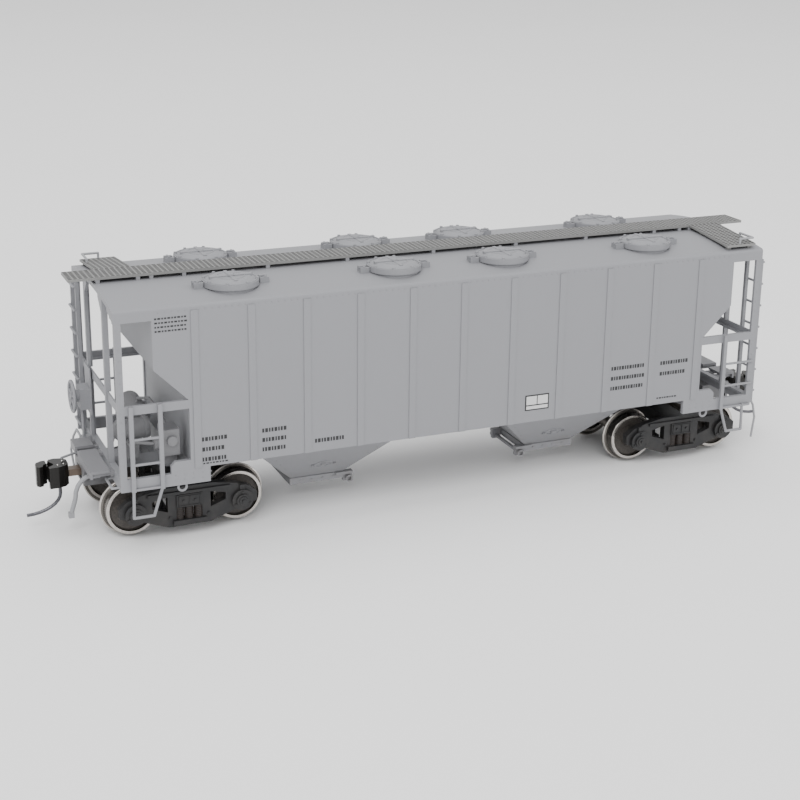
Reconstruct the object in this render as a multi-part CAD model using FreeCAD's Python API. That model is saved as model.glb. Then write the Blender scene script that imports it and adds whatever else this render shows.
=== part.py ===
import FreeCAD, Part
import os
import math
from FreeCAD import Vector

# A 1:87.1 model of a two-bay covered hopper car, in millimetres.
# +X runs along the car, +Y across it, +Z up.  The origin lies under the car's middle,
# on the plane that the wheel flanges stand on.  End A (the brake end) is at -X and
# end B at +X.  Whatever is drawn once for end B is turned half a turn about Z for end A.

# ---- wheels and track -----------------------------------------------------------------
TREAD_R = 4.81              # 33 inch wheel
FLANGE_DEPTH = 0.64
FLANGE_R = TREAD_R + FLANGE_DEPTH
FLANGE_WIDTH = 0.75
WHEEL_WIDTH = 2.79
BACK_TO_BACK = 14.4
AXLE_R = 1.2
AXLE_CONE_LENGTH = 1.6
AXLE_TIP_R = 0.12
AXLE_CLEARANCE = 0.06       # between an axle's cone and its bearing
WHEELBASE = 19.8
TRUCK_INSET = 6.75          # from the end sheet to the truck's centre
RAIL_TOP = FLANGE_DEPTH     # height of the tread above the plane under the flanges
AXLE_Z = FLANGE_R

# ---- body -----------------------------------------------------------------------------
HALF_WIDTH = 17.3           # outer face of the side sheets
SHEET = 1.0                 # thickness of side and end sheets
EAVE_Z = 44.74
ROOF_RISE = 1.46
ROOF_THICKNESS = 0.9
ROOF_OVERHANG = 0.2         # past the end cage
EAVE_ROUND = 0.55
FASCIA_Z = 42.6             # bottom of the eave strip beyond the end sheet
FASCIA_THICKNESS = 0.8
SHEET_HALF_LENGTH = 58.75   # outer face of the end sheet
CAGE_DEPTH = 6.45           # from the end sheet to the outer face of the end cage
SHEET_BOTTOM_Z = 14.85
SLOPE_TOP_Z = 33.75         # where the end sheet turns into the 45 degree slope sheet
SHOULDER_INSET = 6.15       # from the end sheet to the side sheet's lower end
BATTEN_INSET = 1.35         # from the side sheet's lower end to the last batten
BATTEN_COUNT = 11
BATTEN_WIDTH = 1.3
BATTEN_PROUD = 0.15

# ---- hopper bays ----------------------------------------------------------------------
BAY_BOTTOM_Z = 5.24
BAY_TOP_Z = 17.4
BAY_OPENING_X = 10.5
BAY_OPENING_Y = 11.0
BAY_WALL = 0.8
SIDE_SLOPE = 1.14           # rise over run of a bay's side sheets
END_SLOPE = 1.0             # rise over run of the slope sheets
OUTLET_DEPTH = 1.3
OUTLET_LIP = 0.2
GATE_THICKNESS = 0.45
GATE_SHAFT_R = 0.4
GATE_SHAFT_OFFSET = 1.5     # from the outlet frame's inner end
GATE_SHAFT_DROP = 0.05      # the shaft's centre below the outlet frame
PINION_RING_R = 0.7
PINION_RING_LENGTH = 0.8

# ---- roof hatches ---------------------------------------------------------------------
HATCH_END_INSET = 16.3      # from the end sheet to the outer hatches
HATCH_INNER_X = 11.1
HATCH_EAVE_INSET = 7.5
COVER_R = 5.1
COVER_RIM = 0.55
COVER_DOME = 0.5
COVER_SKIRT = 0.45          # how far the cover's rim hangs round the coaming
COVER_CLEARANCE = 0.05
COAMING_R = 4.7
COAMING_WALL = 0.8
COAMING_TOP_Z = EAVE_Z + ROOF_RISE + 0.02
BRACKET_LENGTH = 1.7
BRACKET_WIDTH = 1.9
BRACKET_TOP = 0.45          # above the coaming's top

# ---- walkways -------------------------------------------------------------------------
BOARD_OVERHANG = 4.5        # past the roof
BOARD_WIDTH = 6.0
BOARD_THICKNESS = 0.45
BOARD_GAP = 0.6             # between the ridge and the underside of the board
SADDLE_LENGTH = 0.7
SADDLE_INSETS = (0.8, 8.0, 10.4, 16.4)     # from the roof's end
SADDLE_PLACES = (0.0, 17.6, 33.2)
WALK_LENGTH = 6.6
WALK_END_INSET = 1.5        # from the roof's end to the walk's end
WALK_CORNER = 0.5           # cut off the walk's outer corner
WALK_EAVE_INSET = 0.6
WALK_DROP = 1.3
WALK_THICKNESS = 0.4
WALK_FOOT = 0.9
GRAB_WIRE = 0.45
GRAB_RISE = 1.1             # above the walk's outer edge
GRAB_EDGE = 0.45            # from the walk's edges to the wire
GRAB_LEGS = (3.0, 4.4)      # along the walk's side and along its end

# ---- end cages ------------------------------------------------------------------------
POST_LEG = 1.15
POST_THICKNESS = 0.6
SILL_BOTTOM_Z = 12.0
SILL_HEIGHT = 2.3
SILL_THICKNESS = 0.8
WHEEL_ROOM = 1.2            # kept free round a wheel's flange
GUSSET_RISE = 2.2           # above the sill
GUSSET_OUT = 3.6            # past the side sheet's lower end
GUSSET_IN = 3.5             # under the side sheet
RAIL_LOW_Z = 26.1
RAIL_HIGH_Z = 27.7
END_POST_Y = 8.0
END_POST_LEG = 1.0
LADDER_THICKNESS = 0.6
LADDER_STILE = 0.75
LADDER_INSETS = (7.3, 2.15) # from the cage's end to the side ladder's stiles
RUNG_R = 0.24
RUNG_PITCH = 4.65
STIRRUP_STEP_Z = 7.1
STIRRUP_INSETS = (5.6, 2.0)
END_STILE_INSETS = (5.1, 0.55)             # from the side to the end ladder's stiles
END_STILE_WIDTH = 0.7
END_LADDER_DEPTH = 1.0
END_LADDER_RUNGS = 7
END_LADDER_PITCH = 4.5
END_LADDER_FIRST_Z = 14.9

# ---- underframe -----------------------------------------------------------------------
CENTRE_SILL_HALF = 2.0
CENTRE_SILL_TOP_Z = 13.0
CENTRE_SILL_LOW_Z = 8.9     # between the trucks
SILL_ROOM = 1.6             # over a truck's bolster
CENTRE_SILL_LOW_HALF = 40.0
BOLSTER_HALF = 1.6
CENTRE_PLATE_DEPTH = 1.22
BOLSTER_DEPTH = 3.8
BOLSTER_WEB = 0.8
CENTRE_PLATE_R = 3.0
CENTRE_PLATE_GAP = 0.06
KINGPIN_R = 1.15
KINGPIN_CLEARANCE = 0.07
KINGPIN_HEAD_R = 2.1
KINGPIN_HEAD = 1.0
KINGPIN_DEPTH = 3.0         # how far the screw reaches into the body bolster

# ---- trucks ---------------------------------------------------------------------------
FRAME_CLEARANCE = 1.31      # between a wheel's face and the sideframe
FRAME_THICKNESS = 1.5
JOURNAL_R = 2.0
JOURNAL_PROUD = 0.7
CHORD_RISE = 4.05           # top of the sideframe above its middle
CHORD_DEPTH = 1.5
WINDOW_HALF = 3.3           # half the spring opening's width
SPRING_R = 0.72
FRAME_RISE = 0.3            # the sideframe's middle above the axle
SPRING_SEAT_DROP = 2.25     # below the sideframe's middle
SPRING_TOP_RISE = 0.15      # above the sideframe's middle
TRUCK_BOLSTER_HALF = 2.3
TRUCK_BOLSTER_RISE = 0.95   # underside above the axle
TRUCK_BOLSTER_DEPTH = 2.6
TRUCK_BOLSTER_PAD = 0.92

# ---- couplers and draft gear ----------------------------------------------------------
COUPLER_Z = 10.56
DRAFT_BOX_REACH = (-2.2, 3.9)              # from the cage's end
DRAFT_BOX_HALF = 3.5
DRAFT_BOX_HEIGHT = 2.8
DRAFT_WALL = 0.55
DRAFT_LID = 0.5
LID_SCREW_R = 0.45
SPRING_PLATE = 0.15
COUPLER_PIVOT_REACH = 0.7                  # from the cage's end
COUPLER_POST_R = 0.9
COUPLER_POST_CLEARANCE = 0.08
SHANK_EYE_R = 1.7
SHANK_HALF = 0.95
SHANK_HEIGHT = 1.3
COUPLER_SWING = 15.0        # degrees each way, stopped by the box's mouth
MOUTH_CLEARANCE = 0.08
HEAD_REACH = 6.1                           # from the cage's end
HEAD_LENGTH = 5.7
HEAD_HEIGHT = 4.0
HEAD_JAW = 0.65             # thickness of the head above and below the knuckle
KNUCKLE_PIVOT_OFFSET = (2.45, -1.3)        # from the back of the head
KNUCKLE_PIN_R = 0.4
KNUCKLE_PIN_CLEARANCE = 0.06
KNUCKLE_GAP = 0.06          # above and below the knuckle
KNUCKLE_SWING = 25.0
TRIP_PIN_R = 0.32
TRIP_PIN_OFFSET = (1.5, 0.0)               # from the back of the head
TRIP_PIN_CLEARANCE = 0.1
TRIP_PIN_BEND_Z = 6.6
TRIP_PIN_PAST = 2.1                        # past the knuckle's face
TRIP_PIN_LOW_Z = 2.7

# ---- fittings -------------------------------------------------------------------------
BRAKE_WHEEL_R = 3.15
BRAKE_WHEEL_Y = 7.2
BRAKE_WHEEL_Z = 22.4
BRAKE_WHEEL_REACH = 3.2     # from the cage's end
STEP_REACH = (1.0, 4.4)     # from the cage's end
STEP_LONG = (1.5, 13.0)     # where the long step plate starts and ends across the car
STEP_SHORT = (0.5, 5.0)
STEP_Z = 14.4
STEP_THICKNESS = 0.5
STEP_LIP = 0.9
SILL_GRAB_INSETS = (6.3, 1.3)              # from the side
SILL_GRAB_STAND = 1.3
LEVER_RISE = 0.9            # the uncoupling lever above the end sill's underside
CYLINDER_R = 1.9
RESERVOIR_R = 2.1
PIPE_R = 0.3
HOSE_R = 0.42
HOSE_Y = 4.8
WEIGHT_HALF_LENGTH = 38.0
WEIGHT_HALF_WIDTH = 14.0
WEIGHT_THICKNESS = 4.0

CAGE_X = SHEET_HALF_LENGTH + CAGE_DEPTH
ROOF_HALF_LENGTH = CAGE_X + ROOF_OVERHANG
BOARD_HALF_LENGTH = ROOF_HALF_LENGTH + BOARD_OVERHANG
SHOULDER_X = SHEET_HALF_LENGTH - SHOULDER_INSET
BATTEN_PITCH = 2 * (SHOULDER_X - BATTEN_INSET) / (BATTEN_COUNT - 1)
WALK_OUTER_X = ROOF_HALF_LENGTH - WALK_END_INSET
WALK_INNER_X = WALK_OUTER_X - WALK_LENGTH
WALK_OUTER_Y = HALF_WIDTH - WALK_EAVE_INSET
HATCH_OUTER_X = SHEET_HALF_LENGTH - HATCH_END_INSET
HATCH_Y = HALF_WIDTH - HATCH_EAVE_INSET
SILL_TOP_Z = SILL_BOTTOM_Z + SILL_HEIGHT
LEVER_Z = SILL_BOTTOM_Z + LEVER_RISE
GUSSET_TOP_Z = SILL_TOP_Z + GUSSET_RISE
GUSSET_OUTER_X = SHOULDER_X + GUSSET_OUT
GUSSET_INNER_X = SHOULDER_X - GUSSET_IN
LADDER_X = [CAGE_X - inset for inset in LADDER_INSETS]
STIRRUP_X = [CAGE_X - inset for inset in STIRRUP_INSETS]
END_STILE_Y = [HALF_WIDTH - inset for inset in END_STILE_INSETS]
SILL_GRAB_Y = [HALF_WIDTH - inset for inset in SILL_GRAB_INSETS]
STEP_X = [CAGE_X + reach for reach in STEP_REACH]
BRAKE_WHEEL_X = CAGE_X + BRAKE_WHEEL_REACH
TRUCK_X = SHEET_HALF_LENGTH - TRUCK_INSET
FRAME_INNER_Y = BACK_TO_BACK / 2 + WHEEL_WIDTH + FRAME_CLEARANCE
AXLE_LENGTH = 2 * (FRAME_INNER_Y + FRAME_THICKNESS)
FRAME_Z = AXLE_Z + FRAME_RISE
CHORD_TOP = FRAME_Z + CHORD_RISE
SPRING_SEAT_Z = FRAME_Z - SPRING_SEAT_DROP
SPRING_TOP_Z = FRAME_Z + SPRING_TOP_RISE
TRUCK_BOLSTER_BOTTOM_Z = AXLE_Z + TRUCK_BOLSTER_RISE
TRUCK_BOLSTER_TOP_Z = TRUCK_BOLSTER_BOTTOM_Z + TRUCK_BOLSTER_DEPTH
CENTRE_SILL_HIGH_Z = TRUCK_BOLSTER_TOP_Z + SILL_ROOM
CENTRE_PLATE_Z = TRUCK_BOLSTER_TOP_Z + TRUCK_BOLSTER_PAD + CENTRE_PLATE_GAP
BOLSTER_BOTTOM_Z = CENTRE_PLATE_Z + CENTRE_PLATE_DEPTH
BOLSTER_TOP_Z = BOLSTER_BOTTOM_Z + BOLSTER_DEPTH
DRAFT_BOX = [CAGE_X + reach for reach in DRAFT_BOX_REACH]
COUPLER_PIVOT_X = CAGE_X + COUPLER_PIVOT_REACH
HEAD_X = CAGE_X + HEAD_REACH
HEAD_FACE_X = HEAD_X + HEAD_LENGTH
KNUCKLE_PIVOT = (HEAD_X + KNUCKLE_PIVOT_OFFSET[0], KNUCKLE_PIVOT_OFFSET[1])
TRIP_PIN_PLACE = (HEAD_X + TRIP_PIN_OFFSET[0], TRIP_PIN_OFFSET[1])
TRIP_PIN_REACH = HEAD_FACE_X + TRIP_PIN_PAST
INNER_Y = HALF_WIDTH - SHEET
RIDGE_Z = EAVE_Z + ROOF_RISE
BOARD_LOW_Z = RIDGE_Z + BOARD_GAP
BOARD_TOP_Z = BOARD_LOW_Z + BOARD_THICKNESS
SLOPE_TO_SHOULDER = SHEET_HALF_LENGTH - SHOULDER_X
SHOULDER_Z = SLOPE_TOP_Z - SLOPE_TO_SHOULDER * END_SLOPE
# The slope sheet's line runs on down to the outer edge of the bay's opening.
BAY_OUTER_X = SHEET_HALF_LENGTH - (SLOPE_TOP_Z - BAY_BOTTOM_Z) / END_SLOPE
BAY_INNER_X = BAY_OUTER_X - BAY_OPENING_X
BAY_RISE = BAY_TOP_Z - BAY_BOTTOM_Z
OUTLET_LOW_Z = BAY_BOTTOM_Z - OUTLET_DEPTH
GATE_SHAFT_Z = OUTLET_LOW_Z - GATE_SHAFT_DROP
GATE_SHAFT_X = BAY_INNER_X - OUTLET_LIP - GATE_SHAFT_OFFSET + 0.5
PEAK_Z = BAY_BOTTOM_Z + BAY_INNER_X * END_SLOPE


# ---- small makers ---------------------------------------------------------------------
def box(x0, x1, y0, y1, z0, z1):
    low = Vector(min(x0, x1), min(y0, y1), min(z0, z1))
    size = (abs(x1 - x0), abs(y1 - y0), abs(z1 - z0))
    return Part.makeBox(size[0], size[1], size[2], low)


def rod(start, end, radius):
    """A round bar from one point to another."""
    start, end = Vector(*start), Vector(*end)
    return Part.makeCylinder(radius, (end - start).Length, start, end - start)


def wire_bar(points, radius):
    """A bent round bar: a rod for each run and a ball at each bend."""
    pieces = [rod(a, b, radius) for a, b in zip(points, points[1:])]
    pieces += [Part.makeSphere(radius, Vector(*p)) for p in points[1:-1]]
    return fuse(pieces)


def plate_xz(points, y0, y1):
    """A flat outline in X and Z, given its thickness along Y."""
    low, high = min(y0, y1), max(y0, y1)
    loop = [Vector(x, low, z) for x, z in points]
    return Part.Face(Part.makePolygon(loop + loop[:1])).extrude(Vector(0, high - low, 0))


def plate_xy(points, z0, z1):
    """A flat outline in X and Y, given its thickness along Z."""
    loop = [Vector(x, y, z0) for x, y in points]
    return Part.Face(Part.makePolygon(loop + loop[:1])).extrude(Vector(0, 0, z1 - z0))


def plate_yz(points, x0, x1):
    """A flat outline in Y and Z, given its thickness along X."""
    loop = [Vector(x0, y, z) for y, z in points]
    return Part.Face(Part.makePolygon(loop + loop[:1])).extrude(Vector(x1 - x0, 0, 0))


def fuse(shapes):
    whole = shapes[0]
    if len(shapes) > 1:
        whole = whole.multiFuse(list(shapes[1:]))
    return whole.removeSplitter()


def group(shapes):
    """Separate solids that share one node."""
    solids = [solid for shape in shapes for solid in shape.Solids]
    return Part.makeCompound(solids)


def turned(shape):
    """The same piece at the other end of the car."""
    other = shape.copy()
    other.rotate(Vector(0, 0, 0), Vector(0, 0, 1), 180)
    return other


def mirrored_y(shape):
    return shape.mirror(Vector(0, 0, 0), Vector(0, 1, 0))


def both_ends(shape):
    return [turned(shape), shape]


def four_corners(shape):
    other = mirrored_y(shape)
    return [shape, other, turned(shape), turned(other)]


# ---- roof -----------------------------------------------------------------------------
def arc_face(x, drop, low=None):
    """The roof's cross section at x: an arc lowered by drop, closed by a lower arc or,
    when low is given, by a flat line at that height."""
    left = Vector(x, -HALF_WIDTH, EAVE_Z - drop)
    top = Vector(x, 0, RIDGE_Z - drop)
    right = Vector(x, HALF_WIDTH, EAVE_Z - drop)
    edges = [Part.Arc(left, top, right).toShape()]
    if low is None:
        down = Vector(0, 0, -ROOF_THICKNESS)
        edges.append(Part.makeLine(right, right + down))
        edges.append(Part.Arc(right + down, top + down, left + down).toShape())
        edges.append(Part.makeLine(left + down, left))
    else:
        right_low = Vector(x, HALF_WIDTH, low)
        left_low = Vector(x, -HALF_WIDTH, low)
        edges.append(Part.makeLine(right, right_low))
        edges.append(Part.makeLine(right_low, left_low))
        edges.append(Part.makeLine(left_low, left))
    return Part.Face(Part.Wire(edges))


def below_roof(drop=ROOF_THICKNESS):
    """Everything under the roof sheet, used to trim what stands beneath it."""
    length = 2 * ROOF_HALF_LENGTH
    return arc_face(-ROOF_HALF_LENGTH, drop, 0.0).extrude(Vector(length, 0, 0))


def hatch_places():
    return [(x, side * HATCH_Y)
            for side in (-1, 1)
            for x in (-HATCH_OUTER_X, -HATCH_INNER_X, HATCH_INNER_X, HATCH_OUTER_X)]


def roof_sheet():
    slab = arc_face(-ROOF_HALF_LENGTH, 0).extrude(Vector(2 * ROOF_HALF_LENGTH, 0, 0))
    eaves = [e for e in slab.Edges
             if abs(e.BoundBox.ZMin - EAVE_Z) < 0.01 and e.BoundBox.XLength > ROOF_HALF_LENGTH]
    slab = slab.makeFillet(min(EAVE_ROUND, 0.6 * ROOF_THICKNESS), eaves)
    strip = box(SHEET_HALF_LENGTH, ROOF_HALF_LENGTH,
                HALF_WIDTH - FASCIA_THICKNESS, HALF_WIDTH, FASCIA_Z, EAVE_Z)
    corner = plate_yz([(HALF_WIDTH, FASCIA_Z), (HALF_WIDTH, RIDGE_Z),
                       (HALF_WIDTH - 4.4, RIDGE_Z), (HALF_WIDTH - 4.4, FASCIA_Z + 1.4),
                       (HALF_WIDTH - 1.9, FASCIA_Z + 0.6)],
                      ROOF_HALF_LENGTH - FASCIA_THICKNESS, ROOF_HALF_LENGTH)
    lips = fuse([strip, corner]).common(below_roof(ROOF_THICKNESS / 2))
    coamings = []
    for x, y in hatch_places():
        low = Vector(x, y, EAVE_Z - 0.2)
        coamings.append(Part.makeCylinder(COAMING_R, COAMING_TOP_Z - low.z, low))
    roof = fuse([slab] + four_corners(lips) + coamings)
    for x, y in hatch_places():
        hole = Part.makeCylinder(COAMING_R - COAMING_WALL, 6, Vector(x, y, EAVE_Z - 3))
        roof = roof.cut(hole)
    return roof


def hatch_cover(x, y):
    rim = Part.makeCylinder(COVER_R, COVER_RIM, Vector(x, y, COAMING_TOP_Z))
    top_z = COAMING_TOP_Z + COVER_RIM
    dome = Part.makeCone(COVER_R - 0.75, COVER_R - 1.7, COVER_DOME, Vector(x, y, top_z))
    low = Vector(x, y, COAMING_TOP_Z - COVER_SKIRT)
    skirt = Part.makeCylinder(COVER_R, COVER_SKIRT, low).cut(
        Part.makeCylinder(COAMING_R + COVER_CLEARANCE, COVER_SKIRT, low))
    return fuse([rim, dome, skirt]).cut(below_roof(0))


def hatch_bracket(x, y):
    """A hinge or latch lug beside a cover."""
    side = 1 if x > 0 else -1
    lugs = []
    for way in (-1, 1):
        near = x + way * (COVER_R + 0.1)
        far = near + way * BRACKET_LENGTH
        lug = box(near, far, y - BRACKET_WIDTH / 2, y + BRACKET_WIDTH / 2,
                  EAVE_Z - 1, COAMING_TOP_Z + BRACKET_TOP)
        notch = box(near - way, near + way * BRACKET_LENGTH * 0.45,
                    y - BRACKET_WIDTH / 4, y + BRACKET_WIDTH / 4,
                    COAMING_TOP_Z - 0.1, COAMING_TOP_Z + 2)
        lugs.append(lug.cut(notch).cut(below_roof(0)))
    return group(lugs)


# ---- body shell -----------------------------------------------------------------------
def side_sheet():
    """The side at +Y."""
    top = RIDGE_Z
    outline = [(-SHEET_HALF_LENGTH, top), (-SHEET_HALF_LENGTH, SLOPE_TOP_Z),
               (-SHOULDER_X, SHOULDER_Z), (-SHOULDER_X, SHEET_BOTTOM_Z),
               (SHOULDER_X, SHEET_BOTTOM_Z), (SHOULDER_X, SHOULDER_Z),
               (SHEET_HALF_LENGTH, SLOPE_TOP_Z), (SHEET_HALF_LENGTH, top)]
    sheet = plate_xz(outline, INNER_Y, HALF_WIDTH).common(below_roof())
    battens = []
    first = -(BATTEN_COUNT - 1) / 2 * BATTEN_PITCH
    for number in range(BATTEN_COUNT):
        x = first + number * BATTEN_PITCH
        battens.append(box(x - BATTEN_WIDTH / 2, x + BATTEN_WIDTH / 2, HALF_WIDTH,
                           HALF_WIDTH + BATTEN_PROUD,
                           SHEET_BOTTOM_Z, EAVE_Z - ROOF_THICKNESS))
    return fuse([sheet] + battens)


def end_sheet():
    """The vertical end and the slope sheet below it, bent from one sheet, at end B."""
    wall = SHEET
    slant = wall * math.sqrt(2)
    low_x = SHEET_HALF_LENGTH - (SLOPE_TOP_Z - BAY_TOP_Z) / END_SLOPE
    outline = [(SHEET_HALF_LENGTH, RIDGE_Z), (SHEET_HALF_LENGTH, SLOPE_TOP_Z),
               (low_x, BAY_TOP_Z), (low_x - slant, BAY_TOP_Z),
               (SHEET_HALF_LENGTH - wall, SLOPE_TOP_Z + slant - wall),
               (SHEET_HALF_LENGTH - wall, RIDGE_Z)]
    return plate_xz(outline, -INNER_Y, INNER_Y).common(below_roof())


def frustum(x0, x1, half_y, rise, z0):
    """A bay's funnel: a rectangle that grows upward along the bay's slopes."""
    spread_x, spread_y = rise / END_SLOPE, rise / SIDE_SLOPE

    def loop(out_x, out_y, z):
        corners = [(x0 - out_x, -half_y - out_y), (x1 + out_x, -half_y - out_y),
                   (x1 + out_x, half_y + out_y), (x0 - out_x, half_y + out_y)]
        points = [Vector(x, y, z) for x, y in corners]
        return Part.makePolygon(points + points[:1])
    return Part.makeLoft([loop(0, 0, z0), loop(spread_x, spread_y, z0 + rise)], True, True)


def hopper_bay():
    """The funnel over one outlet, with its half of the peak between the bays."""
    outer = frustum(BAY_INNER_X, BAY_OUTER_X, BAY_OPENING_Y / 2, BAY_RISE, BAY_BOTTOM_Z)
    over_x = BAY_WALL * math.sqrt(2)
    over_y = BAY_WALL * 1.3
    inner = frustum(BAY_INNER_X + over_x, BAY_OUTER_X - over_x,
                    BAY_OPENING_Y / 2 - over_y, BAY_RISE, BAY_BOTTOM_Z)
    shell = outer.cut(inner)
    foot_x = BAY_INNER_X - BAY_RISE / END_SLOPE
    peak = plate_xz([(foot_x, BAY_TOP_Z), (0, PEAK_Z), (0, PEAK_Z + over_x),
                     (foot_x + over_x, BAY_TOP_Z)], -INNER_Y, INNER_Y)
    saddle = box(0, SHEET_HALF_LENGTH, -CENTRE_SILL_HALF, CENTRE_SILL_HALF,
                 CENTRE_SILL_LOW_Z, CENTRE_SILL_TOP_Z)
    return fuse([shell, peak]).cut(saddle)


def outlet_frame():
    """The flanged frame under a bay, closed by its sliding gate."""
    x0, x1 = BAY_INNER_X - OUTLET_LIP, BAY_OUTER_X + OUTLET_LIP
    half = BAY_OPENING_Y / 2 + OUTLET_LIP
    low = OUTLET_LOW_Z
    frame = box(x0, x1, -half, half, low, BAY_BOTTOM_Z)
    hollow = box(x0 + BAY_WALL, x1 - BAY_WALL, -half + BAY_WALL, half - BAY_WALL,
                 low + GATE_THICKNESS, BAY_BOTTOM_Z + 1)
    x_in = x0 - GATE_SHAFT_OFFSET - GATE_SHAFT_R
    brackets = []
    for side in (-1, 1):
        brackets.append(box(x_in, x0, side * (half - 0.9), side * (half - 0.1),
                            GATE_SHAFT_Z - GATE_SHAFT_R - 0.2, BAY_BOTTOM_Z))
        brackets.append(box(x_in, x0 + 1.6, side * (half - 0.1), side * (half + 0.35),
                            GATE_SHAFT_Z + PINION_RING_R + 0.1, BAY_BOTTOM_Z))
    bore = rod((GATE_SHAFT_X, -half, GATE_SHAFT_Z), (GATE_SHAFT_X, half, GATE_SHAFT_Z),
               GATE_SHAFT_R)
    return fuse([frame.cut(hollow)] + brackets).cut(bore)


def gate_shaft():
    """The cross shaft that drives a gate, with a square-socket ring at each end."""
    x, z = GATE_SHAFT_X, GATE_SHAFT_Z
    end_y = BAY_OPENING_Y / 2 + OUTLET_LIP
    pieces = [rod((x, -end_y, z), (x, end_y, z), GATE_SHAFT_R)]
    for side in (-1, 1):
        ring = rod((x, side * end_y, z), (x, side * (end_y + PINION_RING_LENGTH), z),
                   PINION_RING_R)
        socket = box(x - GATE_SHAFT_R, x + GATE_SHAFT_R, side * (end_y + 0.3),
                     side * (end_y + PINION_RING_LENGTH + 1), z - GATE_SHAFT_R, z + GATE_SHAFT_R)
        pieces.append(ring.cut(socket))
    return fuse(pieces)


# ---- walkways -------------------------------------------------------------------------
def running_board():
    half = BOARD_WIDTH / 2
    return box(-BOARD_HALF_LENGTH, BOARD_HALF_LENGTH, -half, half, BOARD_LOW_Z, BOARD_TOP_Z)


def board_saddle(x):
    half = BOARD_WIDTH / 2 - 0.05
    bar = box(x - SADDLE_LENGTH / 2, x + SADDLE_LENGTH / 2, -half, half, EAVE_Z, BOARD_LOW_Z)
    return bar.cut(below_roof(0))


def board_saddles():
    places = set(SADDLE_PLACES) | {ROOF_HALF_LENGTH - inset for inset in SADDLE_INSETS}
    places |= {-x for x in places}
    return group([board_saddle(x) for x in sorted(places)])


def corner_walk():
    """The sloping step from the running board to the eave, at end B on the -Y side."""
    inner = -BOARD_WIDTH / 2
    top = BOARD_TOP_Z - 0.05
    slab = plate_yz([(inner, top), (inner, top - WALK_THICKNESS),
                     (-WALK_OUTER_Y, top - WALK_THICKNESS - WALK_DROP),
                     (-WALK_OUTER_Y, top - WALK_DROP)],
                    WALK_INNER_X, WALK_OUTER_X)
    corner = plate_xy([(WALK_OUTER_X - WALK_CORNER, -WALK_OUTER_Y - 1),
                       (WALK_OUTER_X + 1, -WALK_OUTER_Y - 1),
                       (WALK_OUTER_X + 1, -WALK_OUTER_Y + 1 + WALK_CORNER)], 0, 2 * EAVE_Z)
    feet = []
    for x in (WALK_INNER_X + WALK_FOOT, WALK_OUTER_X - WALK_FOOT):
        for y in (-6.5, -WALK_OUTER_Y + 1.0):
            rise = (y - inner) / (-WALK_OUTER_Y - inner) * WALK_DROP
            feet.append(box(x - WALK_FOOT / 2, x + WALK_FOOT / 2, y - 0.3, y + 0.3,
                            EAVE_Z - 1, top - rise - WALK_THICKNESS / 2))
    return fuse([slab.cut(corner)] + feet).cut(below_roof(0))


def walk_grab():
    """The low wire hand grab round the corner step's outer corner, at end B on the -Y side."""
    edge = BOARD_TOP_Z - 0.05 - WALK_DROP
    x, y = WALK_OUTER_X - GRAB_EDGE, -WALK_OUTER_Y + GRAB_EDGE
    x_in, y_in = x - GRAB_LEGS[0], y + GRAB_LEGS[1]
    top = edge + GRAB_RISE
    slope = WALK_DROP / (WALK_OUTER_Y - BOARD_WIDTH / 2)
    low, low_in = [edge + slope * (step + WALK_OUTER_Y) - WALK_THICKNESS / 2 for step in (y, y_in)]
    wire = wire_bar([(x_in, y, low), (x_in, y, top), (x, y, top), (x, y_in, top),
                     (x, y_in, low_in)], GRAB_WIRE / 2)
    return wire.cut(corner_walk())


# ---- end cages ------------------------------------------------------------------------
def corner_post():
    """An angle at end B on the +Y side."""
    leg = box(CAGE_X - POST_LEG, CAGE_X, HALF_WIDTH - POST_THICKNESS, HALF_WIDTH,
              SILL_TOP_Z, FASCIA_Z)
    turn = box(CAGE_X - POST_THICKNESS, CAGE_X, HALF_WIDTH - POST_LEG, HALF_WIDTH,
               SILL_TOP_Z, FASCIA_Z)
    return fuse([leg, turn])


def side_sill():
    """The sill between the side sheet and the corner, at end B on the +Y side."""
    outline = [(GUSSET_INNER_X, SHEET_BOTTOM_Z), (SHOULDER_X, SHEET_BOTTOM_Z),
               (SHOULDER_X, GUSSET_TOP_Z), (GUSSET_OUTER_X - 0.8, GUSSET_TOP_Z),
               (GUSSET_OUTER_X, GUSSET_TOP_Z - 0.8), (GUSSET_OUTER_X, SILL_TOP_Z),
               (CAGE_X, SILL_TOP_Z), (CAGE_X, SILL_BOTTOM_Z),
               (GUSSET_INNER_X, SILL_BOTTOM_Z)]
    sill = plate_xz(outline, HALF_WIDTH - SILL_THICKNESS, HALF_WIDTH)
    ring_x = GUSSET_OUTER_X - 2.0
    y = HALF_WIDTH - SILL_THICKNESS / 2
    ring = Part.makeTorus(0.75, 0.22, Vector(ring_x, y, SILL_BOTTOM_Z - 0.45), Vector(0, 1, 0))
    return fuse([sill, ring])


def side_brace():
    """The level bar from the side sheet to the corner post, at end B on the +Y side."""
    past = max(0.0, RAIL_HIGH_Z - SHOULDER_Z)
    web = plate_xz([(SHOULDER_X, RAIL_LOW_Z), (CAGE_X - POST_LEG, RAIL_LOW_Z),
                    (CAGE_X - POST_LEG, RAIL_HIGH_Z), (SHOULDER_X + past + 0.01, RAIL_HIGH_Z),
                    (SHOULDER_X, RAIL_HIGH_Z - past - 0.01)],
                   HALF_WIDTH - POST_THICKNESS, HALF_WIDTH)
    flange = box(SHOULDER_X, CAGE_X - POST_LEG, HALF_WIDTH - POST_LEG,
                 HALF_WIDTH - POST_THICKNESS, RAIL_LOW_Z, RAIL_LOW_Z + 0.5)
    return fuse([web, flange])


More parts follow.
